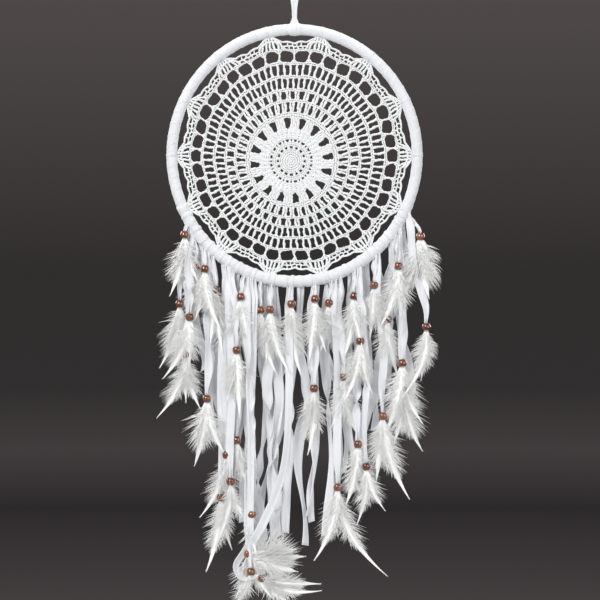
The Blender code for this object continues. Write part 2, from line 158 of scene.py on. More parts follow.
camera = bpy.data.objects.new("camera", bpy.data.cameras.new("camera"))
bpy.context.scene.collection.objects.link(camera)
bpy.context.scene.camera = camera
CAMERA_DISTANCE = 2.6
VIEW_SIDE = 0.600
VIEW_RIGHT = 0.0055
VIEW_HEIGHT = -0.328
SENSOR_WIDTH = 36
LAMP_AIM = Vector((0, 0, -0.33))
camera.location = (VIEW_RIGHT, -CAMERA_DISTANCE, VIEW_HEIGHT)
camera.rotation_euler = (math.radians(90), 0, 0)
camera.data.sensor_width = SENSOR_WIDTH
camera.data.lens = SENSOR_WIDTH * CAMERA_DISTANCE / VIEW_SIDE
bpy.context.scene.view_settings.view_transform = "Standard"


def add_node(tree, kind, inputs=(), **settings):
    """Adds a node. Inputs go by socket name or number, as a value or as another node's output."""
    node = tree.nodes.new(kind)
    for key, value in settings.items():
        setattr(node, key, value)
    for key, value in dict(inputs).items():
        if isinstance(value, bpy.types.NodeSocket):
            tree.links.new(value, node.inputs[key])
        else:
            node.inputs[key].default_value = value
    return node


def calc(tree, operation, *terms):
    """The output of a Math node on the given terms."""
    return add_node(tree, "ShaderNodeMath", dict(enumerate(terms)), operation=operation).outputs[0]


def make_backdrop():
    """Charcoal where the camera or a reflection sees past the object, and even pale light elsewhere."""
    world = bpy.data.worlds.new("studio")
    bpy.context.scene.world = world
    world.use_nodes = True
    tree = world.node_tree
    tree.nodes.clear()
    direction = add_node(tree, "ShaderNodeTexCoord").outputs["Generated"]
    height = add_node(tree, "ShaderNodeSeparateXYZ", {0: direction}).outputs["Z"]
    share = add_node(tree, "ShaderNodeMapRange", {0: height, 1: -0.12, 2: 0.12})
    ramp = add_node(tree, "ShaderNodeValToRGB", {0: share.outputs[0]})
    stops = ((0.0, (0.060, 0.053, 0.054)), (0.17, (0.026, 0.023, 0.024)), (0.26, (0.052, 0.046, 0.047)),
             (0.36, (0.031, 0.028, 0.0285)), (0.55, (0.030, 0.027, 0.027)), (1.0, (0.080, 0.070, 0.067)))
    while len(ramp.color_ramp.elements) < len(stops):
        ramp.color_ramp.elements.new(0.5)
    for element, (place, colour) in zip(ramp.color_ramp.elements, stops):
        element.position, element.color = place, (*colour, 1)
    seen = add_node(tree, "ShaderNodeBackground", {"Color": ramp.outputs[0], "Strength": 1.0})
    light = add_node(tree, "ShaderNodeBackground", {"Color": (0.93, 0.96, 1.0, 1), "Strength": 0.47})
    path = add_node(tree, "ShaderNodeLightPath").outputs
    rays = calc(tree, "MAXIMUM", path["Is Camera Ray"], path["Is Glossy Ray"])
    rays = calc(tree, "MAXIMUM", rays, path["Is Transmission Ray"])
    mix = add_node(tree, "ShaderNodeMixShader", {0: rays, 1: light.outputs[0], 2: seen.outputs[0]})
    add_node(tree, "ShaderNodeOutputWorld", {"Surface": mix.outputs[0]})


def add_lamp(name, place, size, watts):
    """A square soft box that faces the middle of the object."""
    lamp = bpy.data.lights.new(name, "AREA")
    lamp.size, lamp.energy = size, watts
    holder = bpy.data.objects.new(name, lamp)
    bpy.context.scene.collection.objects.link(holder)
    holder.location = place
    holder.rotation_euler = (LAMP_AIM - Vector(place)).to_track_quat("-Z", "Y").to_euler()
    holder.visible_camera = False


make_backdrop()
add_lamp("key", (-1.3, -1.9, 0.75), 1.1, 40)
add_lamp("fill", (1.7, -1.6, 0.1), 1.3, 16)
add_lamp("rear_left", (-1.5, 1.9, 0.5), 1.2, 24)
add_lamp("rear_right", (1.5, 1.8, 0.3), 1.2, 20)
add_lamp("top", (0.0, 0.1, 1.5), 0.9, 13)


# Finishes

WHITE_COTTON = (0.815, 0.82, 0.835)
WRAP_COTTON = (0.77, 0.775, 0.787)
YARN_COTTON = (0.90, 0.90, 0.895)
# Painted shade: the dark colour painted on the round ends of each bead, where they turn from the light
BEAD_END_PAINTED_SHADE = (0.028, 0.007, 0.004, 1)
# The spacing of a Wave texture's bands at a scale of 1
WAVE_SPACING = 0.314


def start_finish(name, sockets):
    """A new material with its shader's sockets set by name, and the surface's coordinates."""
    material = bpy.data.materials.new(name)
    material.use_nodes = True
    tree = material.node_tree
    shader = tree.nodes["Principled BSDF"]
    for socket, value in sockets.items():
        shader.inputs[socket].default_value = value
    return material, tree, shader, add_node(tree, "ShaderNodeTexCoord").outputs


def shade(colour, factor):
    """A colour made darker or lighter by a factor."""
    return (*(min(1.0, c * factor) for c in colour), 1)


def surface_noise(tree, vector, scale, detail=2.0):
    """A value that drifts at random over the surface."""
    inputs = {"Vector": vector, "Scale": scale, "Detail": detail}
    return add_node(tree, "ShaderNodeTexNoise", inputs).outputs[0]


def mottle(tree, vector, scale, dark, light, detail=4.0):
    """A colour that drifts between two tones over the surface."""
    ramp = add_node(tree, "ShaderNodeValToRGB", {0: surface_noise(tree, vector, scale, detail)})
    for element, place, colour in zip(ramp.color_ramp.elements, (0.32, 0.68), (dark, light)):
        element.position, element.color = place, colour
    return ramp.outputs[0]


def stripes(tree, vector, spacing, waver, direction="X", detail=2.0, detail_scale=1.0):
    """A value that goes up and down in stripes at a spacing in metres, which waver."""
    inputs = {"Vector": vector, "Scale": WAVE_SPACING / spacing, "Distortion": waver, "Detail": detail,
              "Detail Scale": detail_scale}
    return add_node(tree, "ShaderNodeTexWave", inputs, bands_direction=direction).outputs[1]


def mix_colours(tree, share, first, second):
    """The first colour where share is 0, and the second where it is 1."""
    inputs = {0: share, 6: first, 7: second}
    return add_node(tree, "ShaderNodeMix", inputs, data_type="RGBA").outputs[2]


def add_bump(tree, shader, height, strength, distance):
    """Lets a height raise the surface's shading."""
    bump = add_node(tree, "ShaderNodeBump", {"Height": height, "Strength": strength, "Distance": distance})
    tree.links.new(bump.outputs[0], shader.inputs["Normal"])


def make_strip_cloth():
    """Thin soft cotton cut in strips: a fine weave on the strip's own UV, in metres, with painted shade
    between its threads.
    """
    material, tree, shader, coords = start_finish("strip_cloth", {"Roughness": 0.86, "Sheen Weight": 0.12})
    thread = 0.55 * MM
    warp = stripes(tree, coords["UV"], thread, 0.6)
    weft = stripes(tree, coords["UV"], thread, 0.6, "Y")
    weave = calc(tree, "MULTIPLY", warp, weft)
    tone = mottle(tree, coords["Object"], 45.0, shade(WHITE_COTTON, 0.97), shade(WHITE_COTTON, 1.03))
    # Painted shade: the colour darkens where the weave sinks between threads, as its bump does
    weave_with_painted_shade = mix_colours(tree, weave, shade(WHITE_COTTON, 0.93), tone)
    tree.links.new(mix_colours(tree, 0.35, tone, weave_with_painted_shade), shader.inputs["Base Color"])
    creases = surface_noise(tree, coords["UV"], 260.0, 3.0)
    height = calc(tree, "ADD", calc(tree, "MULTIPLY", weave, 0.35), creases)
    add_bump(tree, shader, height, 0.25, 0.25 * MM)
    return material


def make_wound_cloth():
    """The same cotton, pulled tight round the hoop."""
    material, tree, shader, coords = start_finish("wound_cloth", {"Roughness": 0.84, "Sheen Weight": 0.12})
    tone = mottle(tree, coords["Object"], 60.0, shade(WRAP_COTTON, 0.97), shade(WRAP_COTTON, 1.04))
    tree.links.new(tone, shader.inputs["Base Color"])
    fibres = surface_noise(tree, coords["Object"], 1400.0)
    folds = surface_noise(tree, coords["Object"], 330.0, 3.0)
    height = calc(tree, "ADD", calc(tree, "MULTIPLY", fibres, 0.3), folds)
    add_bump(tree, shader, height, 0.3, 0.3 * MM)
    return material


def make_crochet_cotton():
    """Mercerised crochet cotton: fine twist lines across each ply, on its UV in metres, with painted shade in
    their grooves.
    """
    material, tree, shader, coords = start_finish("crochet_cotton", {"Roughness": 0.72, "Sheen Weight": 0.08})
    slant = (0, 0, math.radians(38))
    across = add_node(tree, "ShaderNodeMapping", {"Vector": coords["UV"], "Rotation": slant}).outputs[0]
    twist = stripes(tree, across, 0.42 * MM, 1.2)
    tone = mottle(tree, coords["Object"], 90.0, shade(YARN_COTTON, 0.98), shade(YARN_COTTON, 1.02))
    # Painted shade: the colour darkens in the grooves of the twist lines, where the bump sinks
    tree.links.new(mix_colours(tree, twist, shade(YARN_COTTON, 0.95), tone), shader.inputs["Base Color"])
    add_bump(tree, shader, twist, 0.25, 0.1 * MM)
    return material


def make_bead_wood():
    """Stained and polished red-brown wood, each bead in its own tone, with painted shade that darkens its
    ends.
    """
    material, tree, shader, coords = start_finish("bead_wood", {
        "Roughness": 0.24, "Coat Weight": 1.0, "Coat Roughness": 0.07, "Coat IOR": 1.7})
    grain = stripes(tree, coords["Object"], 1.5 * MM, 5.0, detail=3.0, detail_scale=1.5)
    dark = mottle(tree, coords["Object"], 34.0, (0.07, 0.013, 0.004, 1), (0.16, 0.040, 0.010, 1), 1.0)
    light = mottle(tree, coords["Object"], 34.0, (0.24, 0.052, 0.013, 1), (0.50, 0.165, 0.040, 1), 1.0)
    tint = mix_colours(tree, grain, dark, light)
    # Painted shade: towards both ends of the bead's outline on its UV, the colour turns to the dark end
    # colour
    height = add_node(tree, "ShaderNodeSeparateXYZ", {0: coords["UV"]}).outputs["Y"]
    from_middle = calc(tree, "ABSOLUTE", calc(tree, "SUBTRACT", height, 0.46))
    middle = add_node(tree, "ShaderNodeMapRange", {0: from_middle, 1: 0.02, 2: 0.26, 3: 1.0, 4: 0.10},
                      interpolation_type="SMOOTHSTEP").outputs[0]
    tree.links.new(mix_colours(tree, middle, BEAD_END_PAINTED_SHADE, tint), shader.inputs["Base Color"])
    add_bump(tree, shader, grain, 0.12, 0.1 * MM)
    return material


def make_feather_down():
    """Bleached down, between white and a little creamy."""
    material, tree, shader, coords = start_finish("feather_down", {
        "Roughness": 0.7, "Sheen Weight": 0.8, "Sheen Roughness": 0.4})
    tone = mottle(tree, coords["Object"], 70.0, (0.985, 0.975, 0.94, 1), (0.995, 0.99, 0.975, 1))
    tree.links.new(tone, shader.inputs["Base Color"])
    return material


def make_bent_cane():
    """The hoop's own cane, under the wrap."""
    material, tree, shader, coords = start_finish("bent_cane", {"Roughness": 0.55})
    tone = mottle(tree, coords["Object"], 120.0, (0.36, 0.22, 0.10, 1), (0.50, 0.34, 0.17, 1))
    tree.links.new(tone, shader.inputs["Base Color"])
    add_bump(tree, shader, surface_noise(tree, coords["Object"], 500.0), 0.2, 0.2 * MM)
    return material


def make_floor_paint():
    """Plain pale paint."""
    material, tree, shader, coords = start_finish("floor_paint", {"Roughness": 0.9})
    tone = mottle(tree, coords["Object"], 3.0, (0.45, 0.45, 0.455, 1), (0.48, 0.48, 0.485, 1))
    tree.links.new(tone, shader.inputs["Base Color"])
    return material


STRIP_CLOTH = make_strip_cloth()
WOUND_CLOTH = make_wound_cloth()
CROCHET_COTTON = make_crochet_cotton()
BEAD_WOOD = make_bead_wood()
FEATHER_DOWN = make_feather_down()


# Mesh helpers


def mesh_from(name, points, corners, starts, uv, material):
    """A smooth-shaded mesh from each corner's point and UV, and each face's first corner."""
    mesh = bpy.data.meshes.new(name)
    mesh.vertices.add(len(points))
    mesh.vertices.foreach_set("co", np.asarray(points, np.float32).ravel())
    mesh.loops.add(len(corners))
    mesh.loops.foreach_set("vertex_index", np.asarray(corners, np.int32))
    mesh.polygons.add(len(starts))
    mesh.polygons.foreach_set("loop_start", np.asarray(starts, np.int32))
    mesh.polygons.foreach_set("use_smooth", np.ones(len(starts), bool))
    mesh.update(calc_edges=True)
    layer = mesh.uv_layers.new(name="UVMap")
    layer.data.foreach_set("uv", np.asarray(uv, np.float32).ravel())
    mesh.materials.append(material)
    mesh.validate()
    return mesh


class Shape:
    """Points, faces and UVs that are gathered into one mesh."""

    def __init__(self):
        self.points, self.corners, self.starts, self.uv = [], [], [], []

    def face(self, points, uv):
        """A face by the numbers of its points, with a UV for each."""
        self.starts.append(len(self.corners))
        self.corners.extend(points)
        self.uv.extend(uv)

    def grid(self, rows, uv, around=False):
        """Quads over rows of points. With around, a row's end joins its start, and uv has a column more."""
        rows = np.asarray(rows, float)
        count, width = rows.shape[:2]
        base = len(self.points)
        self.points.extend(rows.reshape(-1, 3).tolist())
        for i in range(count - 1):
            for j in range(width if around else width - 1):
                k = (j + 1) % width
                here, there = base + i * width, base + (i + 1) * width
                self.face((here + j, here + k, there + k, there + j),
                          (uv[i][j], uv[i][j + 1], uv[i + 1][j + 1], uv[i + 1][j]))
        return base

    def mesh(self, name, material):
        """The mesh of all that was gathered."""
        return mesh_from(name, self.points, self.corners, self.starts, self.uv, material)


def unit(vectors):
    """Vectors brought to a length of 1."""
    return vectors / np.maximum(np.linalg.norm(vectors, axis=-1, keepdims=True), 1e-12)


def frames_along(path, across):
    """Tangents of a path, with two directions square to them, the first one nearest to across."""
    tangent = unit(np.gradient(path, axis=0))
    across = np.asarray(across, float)
    first = unit(across - tangent * (tangent @ across)[:, None])
    return tangent, first, np.cross(tangent, first)


def smooth(value):
    """An even step from 0 to 1 as value goes from 0 to 1."""
    value = np.clip(value, 0, 1)
    return value * value * (3 - 2 * value)


def arc_length(path):
    """The length along a path up to each of its points."""
    return np.concatenate([[0], np.cumsum(np.linalg.norm(np.diff(path, axis=0), axis=1))])


def sweep(shape, path, radius, sides=5, across=(0, 1, 0)):
    """A round closed length of yarn along a path. The radius is one for all points, or one for each."""
    path = np.asarray(path, float)
    radius = np.broadcast_to(radius, len(path))
    _, first, second = frames_along(path, across)
    turn = 2 * np.pi * np.arange(sides) / sides
    rows = path[:, None] + radius[:, None, None] * (
        np.cos(turn)[None, :, None] * first[:, None] + np.sin(turn)[None, :, None] * second[:, None])
    girth = 2 * np.pi * float(np.mean(radius))
    uv = [[(girth * j / sides, along) for j in range(sides + 1)] for along in arc_length(path)]
    base = shape.grid(rows, uv, around=True)
    last = base + (len(path) - 1) * sides
    for end in (range(base + sides - 1, base - 1, -1), range(last, last + sides)):
        shape.face(tuple(end), [(0.0, 0.0)] * sides)


# A ply's distance from the middle of its yarn, and its radius, as shares of the yarn's width
PLY_OFFSET = 0.17
PLY_RADIUS = 0.32


def twisted_yarn(shape, path, width, turns, sides=5, splay=0.0, phase=0.0):
    """Two plies wound round each other along a path, spread apart at both ends by splay."""
    path = np.asarray(path, float)
    share = np.linspace(0, 1, len(path))
    _, first, second = frames_along(path, (0, 1, 0))
    for ply in (0.0, 0.5):
        angle = (2 * np.pi * (turns * share + ply) + phase)[:, None]
        out = (width * PLY_OFFSET * (1 + splay * np.abs(2 * share - 1) ** 4))[:, None]
        sweep(shape, path + out * (np.cos(angle) * first + np.sin(angle) * second), width * PLY_RADIUS, sides)


def arrays_of(mesh):
    """Points, corners, first corners and UVs of a mesh."""
    points = np.empty(len(mesh.vertices) * 3, np.float32)
    mesh.vertices.foreach_get("co", points)
    corners = np.empty(len(mesh.loops), np.int32)
    mesh.loops.foreach_get("vertex_index", corners)
    starts = np.empty(len(mesh.polygons), np.int32)
    mesh.polygons.foreach_get("loop_start", starts)
    uv = np.zeros(len(mesh.loops) * 2, np.float32)
    if mesh.uv_layers:
        mesh.uv_layers[0].data.foreach_get("uv", uv)
    return points.reshape(-1, 3), corners, starts, uv.reshape(-1, 2)


def join_meshes(name, meshes, material):
    """One mesh from several, which are removed."""
    points, corners, starts, uv = [], [], [], []
    point_count = corner_count = 0
    for mesh in meshes:
        p, c, s, u = arrays_of(mesh)
        points.append(p)
        corners.append(c + point_count)
        starts.append(s + corner_count)
        uv.append(u)
        point_count += len(p)
        corner_count += len(c)
        bpy.data.meshes.remove(mesh)
    return mesh_from(name, *(np.concatenate(part) for part in (points, corners, starts, uv)), material)


def add_piece(name, mesh, body, nodes=()):
    """A finished piece, which rides on a body and stands for CAD nodes."""
    piece = bpy.data.objects.new(name, mesh)
    bpy.context.scene.collection.objects.link(piece)
    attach(piece, body)
    if nodes:
        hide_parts(*nodes)
    return piece


# Geometry Nodes trees


def new_tree(name, **inputs):
    """A tree with named inputs, given as name=socket type."""
    tree = bpy.data.node_groups.new(name, "GeometryNodeTree")
    for label, kind in inputs.items():
        tree.interface.new_socket(label.replace("_", " "), in_out="INPUT", socket_type="NodeSocket" + kind)
    tree.interface.new_socket("Geometry", in_out="OUTPUT", socket_type="NodeSocketGeometry")
    return tree, add_node(tree, "NodeGroupInput").outputs


def end_tree(tree, geometry, finish):
    """Ends a tree in Realize Instances and Set Material."""
    whole = add_node(tree, "GeometryNodeRealizeInstances", {"Geometry": geometry}).outputs[0]
    whole = add_node(tree, "GeometryNodeSetMaterial", {"Geometry": whole, "Material": finish}).outputs[0]
    add_node(tree, "NodeGroupOutput", {"Geometry": whole})


def random_between(tree, low, high, seed):
    """The output of a Random Value node between two values or sockets."""
    node = tree.nodes.new("FunctionNodeRandomValue")
    node.data_type = "FLOAT"
    sockets = [socket for socket in node.inputs if socket.enabled]
    for socket, value in zip(sockets, (low, high, None, seed)):
        if isinstance(value, bpy.types.NodeSocket):
            tree.links.new(value, socket)
        elif value is not None:
            socket.default_value = value
    return next(socket for socket in node.outputs if socket.enabled)


def grow(name, tree, values):
    """Runs a tree with the given inputs and returns what it makes as a plain mesh."""
    holder = bpy.data.objects.new(name, bpy.data.meshes.new(name))
    bpy.context.scene.collection.objects.link(holder)
    modifier = holder.modifiers.new("shape", "NODES")
    modifier.node_group = tree
    for item in tree.interface.items_tree:
        if item.item_type == "SOCKET" and item.in_out == "INPUT":
            modifier[item.identifier] = values[item.name]
    graph = bpy.context.evaluated_depsgraph_get()
    mesh = bpy.data.meshes.new_from_object(
        holder.evaluated_get(graph), preserve_all_data_layers=True, depsgraph=graph)
    holder.modifiers.clear()
    bpy.data.objects.remove(holder)
    return mesh


def make_round_tree():
    """Copies of a unit turned about the hoop's middle, such as the stitches of one round."""
    tree, given = new_tree("round_of_units", Unit="Object", Count="Int", First="Float", Step="Float",
                           Sway="Float", Seed="Int", Finish="Material")
    points = add_node(tree, "GeometryNodeMeshLine", {"Count": given["Count"], "Offset": (0, 0, 0)}).outputs[0]
    index = add_node(tree, "GeometryNodeInputIndex").outputs[0]
    turn = calc(tree, "MULTIPLY_ADD", index, given["Step"], given["First"])
    sway = calc(tree, "MULTIPLY", given["Sway"], -1.0)
    turn = calc(tree, "ADD", turn, random_between(tree, sway, given["Sway"], given["Seed"]))
    euler = add_node(tree, "ShaderNodeCombineXYZ", {"Y": turn}).outputs[0]
    rotation = add_node(tree, "FunctionNodeEulerToRotation", {0: euler}).outputs[0]
    shape = add_node(tree, "GeometryNodeObjectInfo", {"Object": given["Unit"]}).outputs["Geometry"]
    copies = add_node(tree, "GeometryNodeInstanceOnPoints",
                      {"Points": points, "Instance": shape, "Rotation": rotation}).outputs[0]
    end_tree(tree, copies, given["Finish"])
    return tree


ROUND_TREE = make_round_tree()


def turn_copies(name, shape, material, count, first, step, sway=0.0, seed=SEED):
    """A round of copies of a shape, in degrees clockwise from its own place as seen from the front."""
    holder = bpy.data.objects.new(name + "_unit", shape.mesh(name + "_unit", material))
    bpy.context.scene.collection.objects.link(holder)
    mesh = grow(name, ROUND_TREE, {
        "Unit": holder, "Count": count, "First": math.radians(first), "Step": math.radians(step),
        "Sway": math.radians(sway), "Seed": seed, "Finish": material})
    bpy.data.objects.remove(holder)
    return mesh


# Doily, built flat round the origin at rest, then pulled out to the hoop


def polar(angle, radius, depth=0.0):
    """Points by the angle in degrees from straight up, and the distance from the middle and depth in mm."""
    turn = np.radians(np.asarray(angle, float))
    angle, radius, depth = np.broadcast_arrays(turn, np.asarray(radius, float), np.asarray(depth, float))
    return np.stack([radius * np.sin(angle), depth, radius * np.cos(angle)], -1) * MM


def add_post(shape, from_angle, from_radius, to_angle, to_radius, width, turns=1.5, splay=0.5, phase=1.57,
             steps=8):
    """The upright post of a treble, as two plies from one round to the next, in degrees and mm."""
    share = np.linspace(0, 1, steps)
    angle = from_angle + (to_angle - from_angle) * share
    radius = from_radius + (to_radius - from_radius) * share
    path = polar(angle, radius, 0.25 * np.sin(np.pi * share))
    twisted_yarn(shape, path, width * MM, turns, splay=splay, phase=phase)


def chain_round(radius, width, links):
    """One V of a chain stitch, for a round of that many links, in mm."""
    shape = Shape()
    pitch = 360 / links
    share = np.array([-0.10, 0.22, 0.58, 0.92, 1.18])
    for side in (-1, 1):
        path = polar(pitch * (share - 0.5), radius + side * width * np.array([0.10, 0.30, 0.34, 0.24, 0.05]),
                     -width * np.array([-0.12, 0.16, 0.26, 0.16, -0.16]))
        sweep(shape, path, width * MM * np.array([0.17, 0.24, 0.25, 0.22, 0.15]))
    return shape


def pair_of_posts(bottom, top, inner, outer, width):
    """Two trebles worked into one stitch, so that they stand apart by bottom and top mm at their ends."""
    shape = Shape()
    for side in (-1, 1):
        foot, head = math.degrees(side * bottom / 2 / inner), math.degrees(side * top / 2 / outer)
        add_post(shape, foot, inner, head, outer, width, phase=1.57 if side > 0 else 0.6)
    return shape


def single_post(inner, outer, width, splay=0.5, turns=1.5):
    """One treble that stands straight out from the middle."""
    shape = Shape()
    add_post(shape, 0, inner, 0, outer, width, turns, splay)
    return shape


def mesh_post():
    """A post of the open round, with slanting stitches at both ends that round off the holes beside it."""
    shape = Shape()
    add_post(shape, 0, OPEN_INNER, 0, OPEN_OUTER, 2.4, 2.0, 0.8)
    for side in (-1, 1):
        add_post(shape, side * 2.0, OPEN_INNER, side * 0.35, OPEN_INNER + 3.0, 1.6, 0.5, steps=5)
        add_post(shape, side * 1.9, OPEN_OUTER - 0.2, side * 0.3, OPEN_OUTER - 3.0, 1.6, 0.5, steps=5)
    return shape


def petal_cluster():
    """Four trebles side by side, with the small stitches that round off the hole beside them."""
    shape = Shape()
    for k, place in enumerate((-3.3, -1.1, 1.1, 3.3)):
        foot, head = math.degrees(place * 0.98 / 30), math.degrees(place * 1.02 / 42)
        add_post(shape, foot, 29.6, head, 42.2, 2.9, turns=1.7, phase=0.4 + 1.3 * k)
    for side in (-1, 1):
        add_post(shape, side * 6.6, 30.2, side * 8.6, 32.2, 1.9, turns=0.6, steps=5)
    return shape


def slanted_pair():
    """Two short stitches that lean together outwards."""
    shape = Shape()
    add_post(shape, -6.4, 17.6, -3.4, 22.2, 2.3, turns=0.9, steps=6)
    add_post(shape, 5.6, 17.6, 3.6, 22.2, 2.3, turns=0.9, steps=6)
    return shape


def edge_radius(angle):
    """The doily's outline in mm: a point at each fan, and four small scallops from one point to the next."""
    share = (np.asarray(angle, float) / FAN_TURN) % 1
    line = np.interp(np.minimum(share, 1 - share), (0, 0.05, 0.10, 0.17, 0.27, 0.5),
                     (118.6, 117.8, 115.8, 113.6, 111.6, 110.3))
    return line + 1.1 * np.abs(np.sin(4 * np.pi * share))


def tulip_fan():
    """Trebles that lean together to a fan's point, a row across them, and the rows to the next point."""
    shape = Shape()
    rise = np.linspace(0, 1, 10)
    for k, sway in zip(range(-3, 4), (0.3, -0.2, 0.2, 0.0, -0.3, 0.2, -0.1)):
        foot, head = 2.35 * k + sway, 1.25 * k
        angle = foot + (head - foot) * rise + 0.09 * k * np.sin(np.pi * rise)
        radius = EDGE_FOOT + (edge_radius(head) - 1.2 - EDGE_FOOT) * rise
        path = polar(angle, radius, 0.4 * np.sin(5 * rise + k))
        twisted_yarn(shape, path, 2.7 * MM, 2.5, splay=0.2, phase=0.8 * k)
    angle = np.linspace(-5.4, 5.4, 24)
    radius = EDGE_FOOT + (edge_radius(angle) - EDGE_FOOT) * 0.62
    twisted_yarn(shape, polar(angle, radius, -0.6), 2.4 * MM, 5.0)
    angle = np.linspace(0, FAN_TURN, 52)
    twisted_yarn(shape, polar(angle, edge_radius(angle) - 1.0, -0.5), 2.2 * MM, 13.0)
    angle = np.linspace(6.5, FAN_TURN - 6.5, 32)
    radius = 104.6 + (edge_radius(angle) - 104.6) * 0.36
    twisted_yarn(shape, polar(angle, radius, 0.2), 1.6 * MM, 7.0)
    return shape


def scallop_between_fans():
    """The short stitches between the rows of the edging, which leave thin slits."""
    shape = Shape()
    middle = FAN_TURN / 2
    for place in (-3.7, -1.3, 1.2, 3.6):
        edge = float(edge_radius(middle + place))
        add_post(shape, middle + place, EDGE_ROW, middle + place + 0.4, edge - 1.6, 1.7, 1.0, steps=5)
    for place in (-5.0, -2.5, 0.1, 2.4, 4.9):
        add_post(shape, middle + place, EDGE_FOOT, middle + place - 0.4, EDGE_ROW, 1.7, 0.5, steps=5)
    return shape


def stitches(name, shape, count, first, step, sway, seed=SEED):
    """A round of copies of a shape in cotton."""
    return turn_copies(name, shape, CROCHET_COTTON, count, first, step, sway, seed)


def chain_rounds(name, chains):
    """Rounds of chain stitches, each by its radius and width in mm and its number of links."""
    meshes = []
    for k, (radius, width, links) in enumerate(chains):
        shape = chain_round(radius, width, links)
        meshes.append(stitches(f"{name}_{k}", shape, links, 0, 360 / links, 0.12, SEED + k))
    return meshes


def pull_to_hoop(mesh):
    """Stretches flat rounds as the hoop does: out at the fans, in between them, with slight unevenness."""
    points, *_ = arrays_of(mesh)
    angle, radius = np.arctan2(points[:, 0], points[:, 2]), np.hypot(points[:, 0], points[:, 2])
    reach = radius / MM
    rim = smooth((reach - 104) / 12)
    pull = np.clip((reach - 50) / 50, 0, 1) * (1 - rim)
    loose = np.clip(reach / 40, 0.2, 1) * (1 - rim)
    first = np.sin(31 * angle + 0.9 * reach)
    second = np.sin(47 * angle - 0.63 * reach + 1.7)
    third = np.sin(19 * angle + 0.37 * reach)
    radius = radius + MM * (0.9 * pull * np.cos(FANS * angle + np.pi) + 0.24 * loose * (first + second))
    angle = angle + MM * 0.36 * loose * (first * third + second) / np.maximum(radius, 5 * MM)
    depth = points[:, 1] + MM * 0.3 * np.sin(6 * angle + 40 * radius)
    sag = MM * np.outer(1 - smooth((reach - 20) / 97), DOILY_SAG)
    points = np.stack([radius * np.sin(angle), depth, radius * np.cos(angle) * STRETCH], -1)
    points = points + np.array(HOOP_MIDDLE) + sag
    mesh.vertices.foreach_set("co", points.astype(np.float32).ravel())
    mesh.update()
    return mesh


def make_doily():
    """The doily in three pieces: its dense middle, its four rounds of posts, and its edging of fans."""
    middle_chains = (
        (1.5, 6), (3.8, 12), (6.2, 18), (8.6, 26), (10.8, 32), (15.8, 44), (17.8, 50), (22.7, 62), (24.9, 66),
        (27.2, 72), (29.8, 80), (42.9, 112), (45.3, 118))
    middle = chain_rounds("middle_chain", [(radius, 2.7, links) for radius, links in middle_chains])
    middle += [
        stitches("first_posts", single_post(11.2, 15.4, 3.0, turns=1.0), 16, 11.25, 22.5, 1.2),
        stitches("slanted_posts", slanted_pair(), 16, 0, 22.5, 1.2),
        stitches("dense_posts", single_post(22.4, 30.6, 3.6, turns=1.6), 40, 3.75, 9.0, 0.8),
        stitches("petal_clusters", petal_cluster(), 16, 5.0, 22.5, 0.5),
    ]
    step = 360 / 42
    rounds = chain_rounds("round_chain", ((57.0, 2.7, 140), (67.0, 2.7, 164), (78.8, 3.0, 180)))
    rounds += [
        stitches("round_a", pair_of_posts(2.2, 3.2, 46.0, 56.8, 2.6), 42, 0, step, 0.35, 1),
        stitches("round_b", pair_of_posts(2.3, 3.4, 57.4, 66.8, 2.7), 42, step / 2, step, 0.35, 2),
        stitches("round_c", single_post(67.4, 78.4, 2.8, 0.4, 2.5), 84, 0, step / 2, 0.25, 3),
        stitches("round_d", single_post(79.4, 91.0, 3.0, 0.4, 2.5), 84, step / 4, step / 2, 0.25, 4),
    ]
    edging = chain_rounds("edging_chain", ((91.1, 2.6, 220), (103.6, 2.2, 250)))
    edging += [
        stitches("round_e", mesh_post(), 42, 0, step, 0.4, 5),
        stitches("fans", tulip_fan(), FANS, FAN_TURN / 2, FAN_TURN, 0.4, 6),
        stitches("scallops", scallop_between_fans(), FANS, FAN_TURN / 2, FAN_TURN, 0.3, 7),
    ]
    for name, meshes in (("doily_middle", middle), ("doily_rounds", rounds), ("doily_edging", edging)):
        mesh = pull_to_hoop(join_meshes(name, meshes, CROCHET_COTTON))
        add_piece(name, mesh, "hoop", ["crochet_doily"])


def sewing_thread():
    """Two turns of thin thread round the tube, at the top of the hoop."""
    shape = Shape()
    turn = np.linspace(0, 4 * np.pi, 37)
    radius = TUBE_RADIUS + 0.42 * MM
    along = MM * (turn / 5 - 1.3 + 0.5 * np.sin(turn))
    path = np.stack([along, radius * np.sin(turn), RING_RADIUS - radius * np.cos(turn)], -1)
    sweep(shape, path, 0.28 * MM, 5, across=(1, 0, 0))
    return shape


def to_hoop(mesh):
    """Moves a round that was built about the origin to the hoop, stretched as the hoop is."""
    mesh.transform(Matrix.Translation(HOOP_MIDDLE) @ Matrix.Diagonal((1, 1, STRETCH, 1)))
    return mesh


# Hoop wrap and knots


